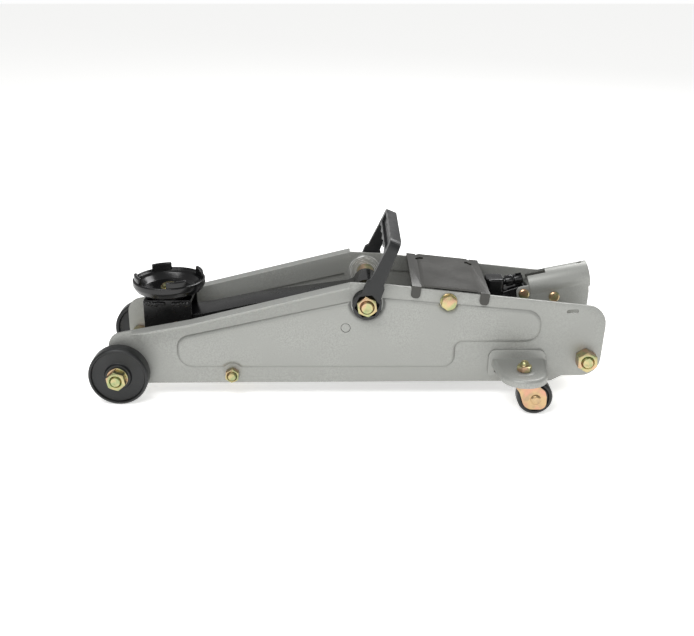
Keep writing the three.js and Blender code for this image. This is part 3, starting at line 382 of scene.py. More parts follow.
# Painted highlight: around the pivot, on the inner faces, a near-white ring broken into short arcs
# stands in for the light that the dish's rim catches.
place_of = put(tree, "SeparateXYZ", {0: coords})
from_pivot = put(
    tree,
    "VectorMath",
    {0: coords, 1: in_middle(PIVOT)},
    operation="SUBTRACT",
)
flattened = put(
    tree, "VectorMath", {0: from_pivot.outputs[0], 1: (1, 0, 1)}, operation="MULTIPLY"
)
radius_out = put(tree, "VectorMath", {0: flattened.outputs[0]}, operation="LENGTH")
ring = spread(tree, radius_out.outputs["Value"], 20 * MM, 18.5 * MM)
depth_in = put(tree, "Math", {0: place_of.outputs["Y"]}, operation="ABSOLUTE")
inner_face = spread(tree, depth_in.outputs[0], 54.6 * MM, 54.2 * MM)
height_above = put(tree, "SeparateXYZ", {0: from_pivot.outputs[0]})
arc_steps = put(
    tree, "Math", {0: radius_out.outputs["Value"], 1: 1 / (0.9 * MM)}, operation="MULTIPLY"
)
arc_run = put(tree, "Math", {0: height_above.outputs["X"], 1: 1 / (9 * MM)}, operation="MULTIPLY")
arc_place = put(tree, "CombineXYZ", {0: arc_steps.outputs[0], 1: arc_run.outputs[0]})
# Streak noise that breaks the painted highlight into short arcs.
highlight_streaks = put(tree, "TexNoise", {"Vector": arc_place.outputs[0], "Scale": 1.0, "Detail": 4.0})
broken = spread(tree, highlight_streaks.outputs[0], 0.5, 0.62)
# The painted highlight's mask: the ring, on the inner faces only, broken by the streaks.
rim_highlight_band = put(tree, "Math", {0: ring.outputs[0], 1: inner_face.outputs[0]}, operation="MULTIPLY")
painted_highlight = put(tree, "Math", {0: rim_highlight_band.outputs[0], 1: broken.outputs[0]}, operation="MULTIPLY")
# Mixes the near-white painted highlight into the enamel's colour.
with_highlight = tinted(tree, painted_highlight.outputs[0], dulled.outputs[2], linear("E4E4E2"))
tree.links.new(with_highlight.outputs[2], shader.inputs["Base Color"])


def plate_corners():
    """The pressing's outline, from the bottom of its nose round to the bottom edge's step."""
    return [
        (-13, 15, 21), (-13, 72.8, 17), (78, 90, 60), (252, 133, 10), (290, 131, 60),
        (531.3, 104.4, 22), (526.3, 24.5, 26), (486, 24.5, 8), (474, 18, 10),
    ]


def panel_corners(inset):
    """The raised panel's outline, drawn the given distance inside itself."""
    low, rear, top = 35 + inset, 459.3 - inset, 100.5 - inset
    return [
        (62 + inset, low, 18), (62 + inset, 69.5 - inset, 16), (250, 111.5 - inset, 40),
        (278, 116.5 - inset, 40), (rear, top, 17), (rear, 65 + inset, 17),
        (367 - inset, 65 + inset, 7), (367 - inset, low, 15),
    ]


def bar(radius, spot, low, high, steps=48):
    """A round tool across the jack at an (x, z) spot, from y low to y high."""
    return rod(radius, place(spot[0], low, spot[1]), place(spot[0], high, spot[1]), steps)


def pressed_plate():
    """The right-hand plate, in steel of one thickness; the left one is its mirror copy."""
    plate = solid(rounded(plate_corners()), PLATE_INNER, PLATE_OUTER, across)
    round_edges(plate, 0.7, 2, lambda spot, angle: angle > SHARP and spot.y > PLATE_OUTER - 0.1)
    round_edges(
        plate,
        2.2,
        4,
        lambda spot, angle: angle > SHARP
        and spot.y < PLATE_INNER + 0.1
        and spot.z > 76
        and spot.x < 505,
    )
    panel = solid(rounded(panel_corners(-1), 10), PANEL_OUTER - 7, PANEL_OUTER, across)
    round_edges(panel, 5.5, 8, lambda spot, angle: angle > SHARP and spot.y > PANEL_OUTER - 0.1)
    for spot, radius in ((PIVOT, 17.5), (SIDE_BOLT, 9.8), (FRONT_TIE, 12)):
        dip = [(0, 40), (radius, 40), (radius, 56.9), (radius + 0.7, 57.7), (radius + 2, 58.7)]
        dip += [(radius + 3.6, 59.25), (radius + 5.5, 59.51), (radius + 5.5, 64), (0, 64)]
        cut(panel, spun(dip, in_middle(spot), (0, 1, 0)))
    cut(panel, solid([(0, 0), (600, 0), (600, 200), (0, 200)], 40, PLATE_OUTER - 1, across))
    strip = [(14, 77.9), (78, 90), APEX, (252, 130), (78.6, 87), (14.6, 75)]
    flange = solid(strip, PLATE_OUTER - 1.5, FLANGE_OUTER, across)
    nose = [(0, 60), (12, 60), (16, 65), (24, 69.5), (36, 72), (36, 76), (0, 76)]
    cut(flange, solid(nose, 60, 140, upward))
    round_edges(flange, 1.3, 3, lambda spot, angle: angle > SHARP and spot.y > 57.5)
    collar = bar(19.2, PIVOT, 51, 55)
    round_edges(collar, 1.2, 3, lambda spot, angle: angle > SHARP and spot.y < 51.1)
    combine(plate, flange)
    combine(plate, panel, collar)
    hollow = solid(rounded(panel_corners(3)), 53, 56.5, across)
    cut(hollow, bar(25, PIVOT, 50, 70), bar(15, SIDE_BOLT, 50, 70), bar(18, FRONT_TIE, 50, 70))
    slot_side = [(486.5, 97, 2), (486.5, 102, 2), (499, 103, 2), (499, 98, 2)]
    slot = solid(rounded(slot_side), 50, 70, across)
    return cut(
        plate,
        hollow,
        bar(16.2, PIVOT, 54, 70),
        bar(6.3, AXLE, 50, 70),
        bar(5.3, FRONT_TIE, 50, 70),
        bar(7.3, PIVOT, 45, 70),
        bar(5.3, LINK_ANCHOR, 50, 70),
        bar(5.3, SIDE_BOLT, 50, 70),
        bar(6.8, REAR_TIE, 50, 70),
        slot,
    )


right_plate = pressed_plate()
finish_pair(right_plate, "pressed_plate", silver_enamel, "chassis", "side_plate")

# ---- Hydraulic unit ----------------------------------------------------------------------------
# A cast iron pump block bolted between the plates by its cross beam, with a welded steel oil
# reservoir in front. The ram slides out of it, and two springs pull the ram back.

BLOCK_FRONT = 372.3
RAM_HEIGHT = 68
RAM_PIN = (286.97, 68)
PLUNGER_X = 480.3
ROLLER_PIN = (PLUNGER_X, 102)
SOCKET_PIVOT = (446.3, 105)
SOCKET_TILT = math.radians(11.5)
SOCKET_AXIS = Vector((math.cos(SOCKET_TILT), 0, math.sin(SOCKET_TILT)))
SOCKET_UP = Vector((-math.sin(SOCKET_TILT), 0, math.cos(SOCKET_TILT)))
VALVE_BASE = in_middle((424.3, 115))


def box(x_low, x_high, y_half, z_low, z_high, corner=0):
    """A block centred across the jack, with its upright edges rounded by corner."""
    plan = [(x_low, -y_half), (x_high, -y_half), (x_high, y_half), (x_low, y_half)]
    return solid(rounded([(x, y, corner) for x, y in plan], 4), z_low, z_high, upward)


def both_ways(half):
    """A turned profile, given from the middle outwards, made the same towards both ends."""
    return [(radius, -along) for radius, along in reversed(half)] + half


def capsule(first, second, radius, low, high):
    """A plate across the jack with round ends about two (x, z) spots."""
    steps = 16
    heading = math.atan2(second[1] - first[1], second[0] - first[0])
    points = []
    for middle, start in ((first, heading + math.pi / 2), (second, heading - math.pi / 2)):
        for i in range(steps + 1):
            turn = start + math.pi * i / steps
            a = middle[0] + radius * math.cos(turn)
            points.append((a, middle[1] + radius * math.sin(turn)))
    return solid(points, low, high, across)


# Black enamel over iron and steel: deep and glossy, with a waviness about 3 mm across that bends
# reflections and a fine dust of lighter specks 0.8 mm across.
def black_enamel(name, colour, dusty, roughness, wave):
    """Black enamel of a colour with a dustier shade, a roughness, and a surface wave in mm."""
    made, tree, shader = material(name)
    coords = put(tree, "TexCoord").outputs["Object"]
    dust = noise(tree, coords, 0.8, 4.0)
    patch = noise(tree, coords, 26, 4.0)
    thick = spread(tree, patch.outputs[0], 0.42, 0.72)
    speck = spread(tree, dust.outputs[0], 0.5, 0.7)
    amount = put(tree, "Math", {0: thick.outputs[0], 1: speck.outputs[0]}, operation="MULTIPLY")
    tone = tinted(tree, amount.outputs[0], linear(colour), linear(dusty))
    ripple = noise(tree, coords, 3, 2.0)
    peel = put(tree, "Bump", {"Height": ripple.outputs[0], "Strength": 0.25, "Distance": wave * MM})
    gloss = spread(tree, patch.outputs[0], 0.35, 0.65, roughness - 0.05, roughness + 0.07)
    tree.links.new(tone.outputs[2], shader.inputs["Base Color"])
    tree.links.new(gloss.outputs[0], shader.inputs["Roughness"])
    tree.links.new(peel.outputs[0], shader.inputs["Normal"])
    return made


gloss_black = black_enamel("gloss_black_enamel", "0B0B0C", "1B1C1D", 0.22, 0.25)
satin_black = black_enamel("satin_black_enamel", "34332F", "46453F", 0.34, 0.2)


def brushed_steel(name, colour, darker, roughness):
    """Bare steel with fine turned or ground marks 0.5 mm apart."""
    made, tree, shader = material(name)
    coords = put(tree, "TexCoord").outputs["Object"]
    marks = noise(tree, coords, 0.5, 3.0)
    tone = tinted(tree, marks.outputs[0], linear(darker), linear(colour))
    dull = spread(tree, marks.outputs[0], 0.3, 0.7, roughness - 0.06, roughness + 0.06)
    tree.links.new(tone.outputs[2], shader.inputs["Base Color"])
    tree.links.new(dull.outputs[0], shader.inputs["Roughness"])
    shader.inputs["Metallic"].default_value = 1.0
    return made


ground_steel = brushed_steel("ground_steel", "C9CBCC", "A9ABAD", 0.2)
spring_steel = brushed_steel("spring_steel", "8E8F90", "6E6F70", 0.34)


# Zinc plate with a yellow chromate film: metallic, and drifting from straw to green and to pink
# over 7 mm or so as the film's thickness changes.
def chromate(name, straw, green, pink):
    """Yellow passivated zinc of three drifting tints."""
    made, tree, shader = material(name)
    coords = put(tree, "TexCoord").outputs["Object"]
    drift = noise(tree, coords, 7, 2.0)
    blush = noise(tree, coords, 12, 1.0)
    grain = noise(tree, coords, 0.7, 3.0)
    greener = spread(tree, drift.outputs[0], 0.42, 0.62)
    pinker = spread(tree, blush.outputs[0], 0.48, 0.66)
    first = tinted(tree, greener.outputs[0], linear(straw), linear(green))
    second = tinted(tree, pinker.outputs[0], first.outputs[2], linear(pink))
    dull = spread(tree, grain.outputs[0], 0.3, 0.7, 0.26, 0.4)
    tree.links.new(second.outputs[2], shader.inputs["Base Color"])
    tree.links.new(dull.outputs[0], shader.inputs["Roughness"])
    shader.inputs["Metallic"].default_value = 1.0
    return made


yellow_zinc = chromate("yellow_zinc", "BCAF82", "9EA67A", "C4A385")
rosy_zinc = chromate("rosy_zinc", "C2A67E", "AE9577", "C79880")

block = box(BLOCK_FRONT, BLOCK_FRONT + 60, 32, 36, 104, 5)
round_edges(block, 3, 4, lambda spot, angle: angle > SHARP and (spot.z > 103.9 or spot.z < 36.1))
beam = box(BLOCK_FRONT - 28.3, BLOCK_FRONT + 8, 53.7, 100, 119, 1.5)
round_edges(beam, 1.5, 3, lambda spot, angle: angle > SHARP and spot.z > 118.9)
foot = box(BLOCK_FRONT + 57, BLOCK_FRONT + 125, 18, 36.4, 68, 14)
round_edges(foot, 2.5, 4, lambda spot, angle: angle > SHARP and spot.z > 67.9)
tower = box(BLOCK_FRONT + 32, BLOCK_FRONT + 52, 12, 100, 121, 5)
round_edges(tower, 2, 4, lambda spot, angle: angle > SHARP and spot.z > 120.9)
ears = capsule((428.3, 99), SOCKET_PIVOT, 8, -9, 9)
round_edges(ears, 1.2, 3, lambda spot, angle: angle > SHARP)
lugs = box(BLOCK_FRONT + 0.4, BLOCK_FRONT + 8.4, 43, 60, 76, 2)
housing_side = rounded([(0, 64, 0), (12, 64, 0), (12, 77, 1.2), (0, 77, 0)], 4)
housing = spun(housing_side, place(PLUNGER_X, 0, 0), (0, 0, 1))
combine(block, beam, foot, tower, ears, lugs, housing)
cut(
    block,
    rod(6.8, place(PLUNGER_X, 0, 41), place(PLUNGER_X, 0, 80), 50),
    bar(5.3, SOCKET_PIVOT, -20, 20),
    bar(5.3, SIDE_BOLT, 38, 60),
    bar(5.3, SIDE_BOLT, -60, -38),
    rod(4.3, VALVE_BASE - SOCKET_AXIS * 13 * MM, VALVE_BASE + SOCKET_AXIS * 3 * MM),
)
plug_side = [(0, -2, 0), (6, -2, 0), (6, 1.4, 0.6), (3, 1.4, 0.4), (3, 0.4, 0), (0, 0.4, 0)]
for side in (-1, 1):
    for x in (BLOCK_FRONT + 14, BLOCK_FRONT + 46):
        core_plug = spun(rounded(plug_side, 3), place(x, side * 32, 52), (0, side, 0), steps=24)
        combine(block, core_plug)
finish(block, "pump_casting", gloss_black, "chassis", "pump_block")

# The reservoir tube is closed by a pressed cap, with a welded seam round its rim. Its filler plug
# is a zinc plated screw.
reservoir = spun(
    rounded(
        [
            (11.4, 318.3, 0.4), (20, 318.3, 1.5), (27, 321, 3), (28.5, 323, 1), (29, 324.5, 1),
            (30, 326, 1.5), (30, 366, 0.6), (31, 367, 1), (31, 370, 1), (30, 371, 0.4),
            (30, 371.9, 0.3), (11.4, 371.9, 0.4),
        ],
        5,
    ),
    place(0, 0, RAM_HEIGHT),
    (1, 0, 0),
    steps=96,
)
cut(reservoir, rod(3.4, place(332, 0, 90), place(332, 0, 105)))
finish(reservoir, "oil_reservoir", gloss_black, "chassis", "reservoir")


def hexagon(flats, turn=0):
    """A hexagon's outline, from its width across the flats."""
    corner = flats / math.sqrt(3)
    spots = [math.radians(60 * i + turn) for i in range(6)]
    return [(corner * math.cos(spot), corner * math.sin(spot)) for spot in spots]


def hex_nut(flats, bore, base, axis, height, turn=0):
    """A hexagon nut standing on base, chamfered on both faces. With no bore it is a bolt's head."""
    axis = Vector(axis)
    side = axis.orthogonal().normalized()
    other = axis.cross(side)

    def standing(a, b, h):
        return base + (side * a + other * b + axis * h) * MM

    nut = solid(hexagon(flats, turn), 0, height, standing)
    face = flats / 2 - 0.3
    corner = flats / math.sqrt(3) + 0.3
    drop = (corner - face) * 0.6
    turned = [(0, -0.01), (face, -0.01), (corner, drop)]
    turned += [(corner, height - drop), (face, height), (0, height)]
    combine(nut, spun(turned, base, axis), operation="INTERSECT")
    if bore:
        sink = [(0, -1), (bore + 1.8, -1), (bore, 0.8)]
        sink += [(bore, height - 0.8), (bore + 1.8, height + 1), (0, height + 1)]
        cut(nut, spun(sink, base, axis))
    return nut


def thread(radius, pitch, start, end):
    """(radius, along) roots and crests of a rolled thread."""
    points = []
    for i in range(int((end - start) / pitch)):
        foot_of = start + i * pitch
        points += [(radius - 0.5 * pitch, foot_of), (radius, foot_of + pitch / 2)]
    return points


plug = hex_nut(8.7, 0, place(332, 0, 98.4), (0, 0, 1), 4.6, 12)
combine(plug, rod(3, place(332, 0, 91), place(332, 0, 99)))
finish(plug, "filler_screw", yellow_zinc, "chassis", "filler_plug")

ram_end = rounded([(0, 273, 0), (11, 273, 2.5), (11, 371, 0.5), (0, 371, 0)], 5)
ram = spun(ram_end, place(0, 0, RAM_HEIGHT), (1, 0, 0))
cut(ram, bar(6.2, RAM_PIN, -15, 15))
finish(ram, "ram_rod", ground_steel, "ram", "ram")
cross_pin = spun(
    both_ways([(6, 10), (6, 36), (5, 36.4), (5, 39.6), (6, 40), (6, 43.2), (5.3, 44), (0, 44)]),
    in_middle(RAM_PIN),
    (0, 1, 0),
)
finish(cross_pin, "ram_cross_pin", yellow_zinc, "ram", "ram_pin")


def coil(wire, radius, start, end, turns, axis):
    """A closed coil of wire from start to end, with its ends capped."""
    bpy.ops.object.select_all(action="DESELECT")
    bpy.ops.mesh.primitive_circle_add(vertices=8, radius=wire * MM, fill_type="NOTHING")
    piece = bpy.context.object
    tilt = Matrix.Rotation(math.pi / 2, 4, "X")
    shift = Matrix.Translation((radius * MM, 0, 0))
    piece.data.transform(shift @ tilt)
    screw = piece.modifiers.new("coil", "SCREW")
    screw.axis = "Z"
    screw.steps = 20
    screw.render_steps = 20
    screw.iterations = turns
    screw.screw_offset = (end - start).length / turns
    bpy.ops.object.modifier_apply(modifier=screw.name)
    turn = Vector(axis).to_track_quat("Z", "Y").to_matrix().to_4x4()
    piece.data.transform(Matrix.Translation(start) @ turn)
    bpy.ops.object.mode_set(mode="EDIT")
    bpy.ops.mesh.select_all(action="SELECT")
    bpy.ops.mesh.remove_doubles(threshold=1e-7)
    bpy.ops.mesh.fill_holes(sides=8)
    bpy.ops.mesh.normals_make_consistent(inside=False)
    bpy.ops.object.mode_set(mode="OBJECT")
    return piece


# Each return spring is close wound, with a loop at its front end that goes over the ram's pin.
SPRING_OUT = 38
fixed_end, moving_end = place(371.2, 0, RAM_HEIGHT), place(294.4, 0, RAM_HEIGHT)
turns = [i * math.pi / 4 for i in range(8)]
eye = [(7.1 + 0.9 * math.cos(turn), 0.9 * math.sin(turn)) for turn in turns]
for side, name in ((-1, "left"), (1, "right")):
    shift = Vector((0, side * SPRING_OUT * MM, 0))
    spring = coil(1, 4, moving_end + shift, fixed_end + shift, 32, (1, 0, 0))
    around = place(RAM_PIN[0], side * SPRING_OUT, RAM_PIN[1])
    combine(spring, spun(eye, around, (0, 1, 0), steps=32))
    finish(
        spring, f"return_coil_{name}", spring_steel, None, f"return_spring_{name}"
    )
    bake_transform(spring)


# ---- Lift arm ----------------------------------------------------------------------------------
# A channel pressed from 5.5 mm steel with its open side down, welded to a hub that turns on the
# main pivot. A short lever under the hub is slotted for the ram's pin.

LEVER_LEAN = math.radians(22)
TIP_PIN = (58, 70)


def below_pivot(reach):
    """An (x, z) spot on the lever's middle line, the given distance from the pivot."""
    return PIVOT[0] + reach * math.sin(LEVER_LEAN), PIVOT[1] - reach * math.cos(LEVER_LEAN)


arm_side = rounded(
    [
        (58, 81, 2), (88, 84, 14), (141, 95.5, 30), (252, 111, 16), (270, 123, 10), (283, 110, 12),
        (270, 86, 14), (230, 76, 20), (98, 66, 14), (58, 59, 3),
    ]
)
arm = solid(arm_side, -20, 20, across)
round_edges(
    arm,
    3,
    5,
    lambda spot, angle: angle > SHARP and spot.z > 80 + 0.14 * (spot.x - 88) and spot.x < 262,
)
hollow = [(50, 50), (50, 77), (88, 80), (141, 91.5), (248, 106.5), (250, 60), (98, 50)]
cut(arm, solid(hollow, -14.5, 14.5, across))
hub = bar(14, PIVOT, -20, 20, 64)
boss = bar(11, TIP_PIN, -20, 20)
round_edges(boss, 1, 3, lambda spot, angle: angle > SHARP)
lever = capsule(PIVOT, below_pivot(54.5), 14, -16, 16)
round_edges(lever, 1.5, 3, lambda spot, angle: angle > SHARP)
combine(arm, hub, boss, lever)
cut(
    arm,
    bar(10.3, PIVOT, -30, 30, 64),
    bar(6.3, TIP_PIN, -30, 30),
    capsule(below_pivot(41), below_pivot(54.5), 9, -30, 30),
)
finish(arm, "lift_channel", gloss_black, "arm", "lift_arm")
tip_half = [(6, 10), (6, 26), (5, 28), (0, 28)]
tip_pin = spun(both_ways(tip_half), in_middle(TIP_PIN), (0, 1, 0))
finish(tip_pin, "lift_tip_pin", yellow_zinc, "arm", "arm_tip_pin")

# ---- Saddle bracket and levelling rods ---------------------------------------------------------
# A folded steel box hinged on the arm's tip, its top plate welded along the cheeks in short runs.
# Two flat rods run back from it to the side plates, and keep the saddle level as it rises.

LINK_PIN = (35, 42)

cheek = rounded(
    [
        (22, 101, 1), (22, 46, 2), (26, 38, 4), (31, 33, 4), (40, 33, 5), (71, 59, 6), (75, 66, 4),
        (75, 101, 1),
    ]
)
bracket = solid(cheek, -25, 25, across)
inside = [(10, 20), (10, 78), (26, 78), (26, 97), (90, 97), (90, 20)]
cut(bracket, solid(inside, -21, 21, across))
round_edges(
    bracket, 1.4, 3, lambda spot, angle: angle > SHARP and (spot.z > 100.8 or spot.x < 22.2)
)
for side in (-1, 1):
    for i, x in enumerate((25.5, 28.5, 32, 35, 39, 43, 56, 60, 63.5, 67.5, 71)):
        bpy.ops.object.select_all(action="DESELECT")
        bpy.ops.mesh.primitive_uv_sphere_add(segments=20, ring_count=12, radius=3 * MM)
        bead = bpy.context.object
        grown = Matrix.Diagonal((1 + 0.15 * (i % 3), 0.75, 0.75 + 0.12 * (i % 4), 1))
        bead.data.transform(Matrix.Translation(place(x, side * 25, 98 - 0.5 * (i % 4))) @ grown)
        combine(bracket, bead)
cut(
    bracket,
    bar(6.3, TIP_PIN, -30, 30),
    bar(5.3, LINK_PIN, -30, 30),
    rod(5.3, place(48, 0, 90), place(48, 0, 110)),
)
finish(bracket, "bracket_box", gloss_black, "bracket", "saddle_bracket")
link_half = [(5, 10), (5, 31.6), (4.2, 31.8), (4.2, 32.2), (4.2, 33), (0, 33)]
link_pin = spun(both_ways(link_half), in_middle(LINK_PIN), (0, 1, 0))
finish(link_pin, "bracket_link_pin", yellow_zinc, "bracket", "link_pin")

right_link = capsule(LINK_PIN, LINK_ANCHOR, 7, 26, 31)
round_edges(right_link, 0.8, 3, lambda spot, angle: angle > SHARP)
cut(right_link, bar(5.3, LINK_PIN, 20, 40), bar(5.3, LINK_ANCHOR, 20, 40))
finish_pair(right_link, "levelling_bar", gloss_black, "rod_", "levelling_rod")

right_anchor = spun(
    rounded(
        [(0, 25.5, 0), (5, 25.5, 0.6), (5, 31.3, 0), (7, 31.3, 0.4), (7, 53.6, 0.4), (5, 53.6, 0),
         (5, 59.4, 0.7), (0, 59.4, 0)],
        4,
    ),
    in_middle(LINK_ANCHOR),
    (0, 1, 0),
)
finish_pair(right_anchor, "anchor_pin", silver_enamel, "chassis", "link_anchor")

# ---- Saddle ------------------------------------------------------------------------------------
# A cast iron cup that bears on the vehicle, with four lugs round its rim against slipping. It
# turns on a bolt through the bracket's top plate.

SADDLE = place(48, 0, 101.3)
cup = spun(
    rounded(
        [
            (5.3, 0, 0.3), (24, 0, 2), (31, 2.4, 4), (37.6, 6.6, 3), (40.5, 12, 4),
            (40.5, 18.2, 2.4), (37.9, 18.4, 1), (37.4, 16.6, 0.8), (35.2, 16.4, 1),
            (34, 13, 3), (28.6, 7.5, 4), (24, 6.5, 2), (5.3, 6.5, 0.3),
        ],
        5,
    ),
    SADDLE,
    (0, 0, 1),
    steps=96,
)
for i in range(4):
    turns = [math.radians(22 + 90 * i + step) for step in range(-18, 19, 3)]
    lug_plan = [(38.6 * math.cos(t), 38.6 * math.sin(t)) for t in turns]
    lug_plan += [(34.8 * math.cos(t), 34.8 * math.sin(t)) for t in reversed(turns)]
    lug = solid(lug_plan, 13, 24.8, lambda a, b, height: SADDLE + Vector((a, b, height)) * MM)
    round_edges(lug, 1.4, 4, lambda spot, angle: angle > 50 and spot.z > 116)
    combine(cup, lug)
finish(cup, "saddle_cup", gloss_black, "saddle", "saddle")
saddle_bolt = hex_nut(15.3, 0, SADDLE + Vector((0, 0, 8.2)) * MM, (0, 0, 1), 3, 8)
stem = [(0, -15.5), (4.4, -15.5), (5, -14.8)] + thread(5, 1.5, -14.8, -4) + [
    (5, -4), (5, 6.8), (9.6, 6.8), (10, 7.2), (10, 8), (9.6, 8.4), (0, 8.4)
]
combine(saddle_bolt, spun(stem, SADDLE, (0, 0, 1)))
finish(saddle_bolt, "saddle_centre_bolt", yellow_zinc, "bracket", "saddle_bolt")
saddle_nut = hex_nut(16, 5.15, place(48, 0, 89.2), (0, 0, 1), 7.5, 11)
finish(saddle_nut, "saddle_lock_nut", yellow_zinc, "bracket", "saddle_nut")

# ---- Front wheels and cross rods ---------------------------------------------------------------
# Two moulded nylon wheels on a through axle, each with a recessed face, and held by a washer and a
# nut. Three more threaded rods tie the plates together, and four bolts hold the hydraulic unit.

# Moulded nylon: near black, dull, with a fine sandy grain 0.6 mm across and a soft mottle.
black_nylon, tree, shader = material("black_nylon")
coords = put(tree, "TexCoord").outputs["Object"]
sand = noise(tree, coords, 0.6, 3.0)
mottle = noise(tree, coords, 14, 4.0)
tone = tinted(tree, mottle.outputs[0], linear("0F1011"), linear("191B1C"))
gloss = spread(tree, mottle.outputs[0], 0.3, 0.7, 0.36, 0.5)
sanded = put(tree, "Bump", {"Height": sand.outputs[0], "Strength": 0.2, "Distance": 0.15 * MM})
tree.links.new(tone.outputs[2], shader.inputs["Base Color"])
tree.links.new(gloss.outputs[0], shader.inputs["Roughness"])
tree.links.new(sanded.outputs[0], shader.inputs["Normal"])

axle_centre = in_middle(AXLE)
wheel_side = [
    (6.4, 57.8, 0.3), (13, 57.8, 1), (13, 66.5, 1.5), (27.6, 66.5, 1.5), (28.6, 63.2, 0.6),
    (31.4, 63.2, 1.1), (32.5, 64.8, 1), (32.5, 78.6, 1.6), (30.9, 80.4, 1), (29.4, 80.4, 0.8),
    (28.6, 77.2, 0.9), (15, 77, 1), (13.8, 80.3, 0.7), (6.4, 80.3, 0.3),
]
right_wheel = spun(rounded(wheel_side, 5), axle_centre, (0, 1, 0), steps=96)
finish_pair(right_wheel, "front_roller", black_nylon, "wheel_", "front_wheel")


def tie_rod(name, node, spot, shank, shoulder, radius, pitch, end):
    """A rod across the jack at an (x, z) spot: a shank to the shoulder, then thread to its end."""
    half = [(shank, 5), (shank, shoulder - 0.6), (shank - 0.6, shoulder)]
    half += [(radius, shoulder + 0.01)] + thread(radius, pitch, shoulder + 2, end - 1)
    half += [(radius - 0.9, end - 0.5), (radius - 1.2, end), (2.2, end), (0, end - 0.9)]
    made = spun(both_ways(half), in_middle(spot), (0, 1, 0))
    finish(made, name, yellow_zinc, "chassis", node)


def pair_of_nuts(name, node, spot, flats, bore, low, high, turn):
    """A nut at each end of a rod, from y low to y high."""
    right = hex_nut(flats, bore, place(spot[0], low, spot[1]), (0, 1, 0), high - low, turn)
    finish_pair(right, name, yellow_zinc, "chassis", node)


tie_rod("front_axle_bar", "front_axle_rod", AXLE, 6, 60, 6, 1.75, 93.9)
tie_rod("front_tie_bar", "front_tie_rod", FRONT_TIE, 8, 53.7, 5, 1.5, 68)
tie_rod("main_pivot_bar", "pivot_shaft", PIVOT, 10, 50.7, 7, 2, 74.5)
tie_rod("rear_tie_bar", "rear_tie_rod", REAR_TIE, 9, 53.7, 6.5, 1.75, 74)
pair_of_nuts("axle_hex_nut", "axle_nut", AXLE, 19, 6.15, 83, 92.5, 5)
pair_of_nuts("front_tie_hex_nut", "front_tie_nut", FRONT_TIE, 14, 5.15, 57.3, 65.3, 20)
pair_of_nuts("pivot_hex_nut", "pivot_nut", PIVOT, 20, 7.15, 60.3, 71.3, 8)
pair_of_nuts("rear_tie_hex_nut", "rear_tie_nut", REAR_TIE, 20.5, 6.65, 57.3, 71.8, 14)

spacer = spun(
    rounded([(6.3, -53.7, 0.3), (9.3, -53.7, 0.8), (9.3, 53.7, 0.8), (6.3, 53.7, 0.3)], 3),
    axle_centre,
    (0, 1, 0),
)
finish(spacer, "axle_distance_tube", yellow_zinc, "chassis", "front_axle_spacer")
right_washer = spun(
    rounded([(6.4, 80.8, 0.2), (11.5, 80.8, 0.4), (11.5, 82.7, 0.5), (6.4, 82.7, 0.3)], 3),
    axle_centre,
    (0, 1, 0),
)
finish_pair(right_washer, "axle_plain_washer", yellow_zinc, "chassis", "axle_washer")

right_bolt = hex_nut(15, 0, place(SIDE_BOLT[0], 58.8, SIDE_BOLT[1]), (0, 1, 0), 6, 25)
bolt_side = [(0, 40), (4.4, 40), (5, 40.6)] + thread(5, 1.5, 40.6, 55) + [
    (5, 55), (5, 57.3), (8.9, 57.3), (9.3, 57.7), (9.3, 58.5), (8.9, 58.9), (0, 58.9)
]
combine(right_bolt, spun(bolt_side, in_middle(SIDE_BOLT), (0, 1, 0)))
finish_pair(right_bolt, "side_hex_bolt", yellow_zinc, "chassis", "side_bolt")

# ---- Pump, release valve and handle socket -----------------------------------------------------
# The socket holds the jack's bar. Pulled down, its roller pushes the pump plunger against a spring.
# Turned, the bar works the forked end of the release valve.


def along_socket(a, b, height):
    """Lays an outline drawn along the socket and above its pivot, with its thickness across."""
    return place(SOCKET_PIVOT[0], height, SOCKET_PIVOT[1]) + (SOCKET_AXIS * a + SOCKET_UP * b) * MM


piston_side = [
    (0, 42, 0), (6.5, 42, 0.8), (6.5, 92.4, 0.3), (9.1, 92.6, 0.5), (9.1, 95.7, 1), (0, 95.7, 0),
]
piston = spun(rounded(piston_side, 4), place(PLUNGER_X, 0, 0), (0, 0, 1))
finish(piston, "pump_piston", ground_steel, "plunger", "pump_plunger")
low_end, high_end = place(PLUNGER_X, 0, 78.4), place(PLUNGER_X, 0, 91.1)
pump_coil = coil(1, 8.05, low_end, high_end, 5, (0, 0, 1))
finish(pump_coil, "pump_coil", spring_steel, None, "plunger_spring")
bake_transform(pump_coil)

valve = spun(
    rounded(
        [
            (0, -12, 0), (4, -12, 0.6), (4, 2.5, 0.4), (6.3, 2.7, 0.6), (6.3, 10.6, 0.8),
            (5.2, 11.2, 0.4), (5.2, 12, 0.4), (6.3, 12.8, 0.6), (6.3, 22, 1.2), (0, 22, 0),
        ],
        4,
    ),
    VALVE_BASE,
    SOCKET_AXIS,
)
fork_gap = box(0, 12, 3.2, -10, 10)
fork_gap.data.transform(
    Matrix.Translation(VALVE_BASE + SOCKET_AXIS * 14.5 * MM)
    @ Matrix.Rotation(-SOCKET_TILT, 4, "Y")
    @ Matrix.Translation(-place(0, 0, 0))
)
cut(valve, fork_gap)
finish(valve, "release_fork", gloss_black, "release_valve", "release_valve")

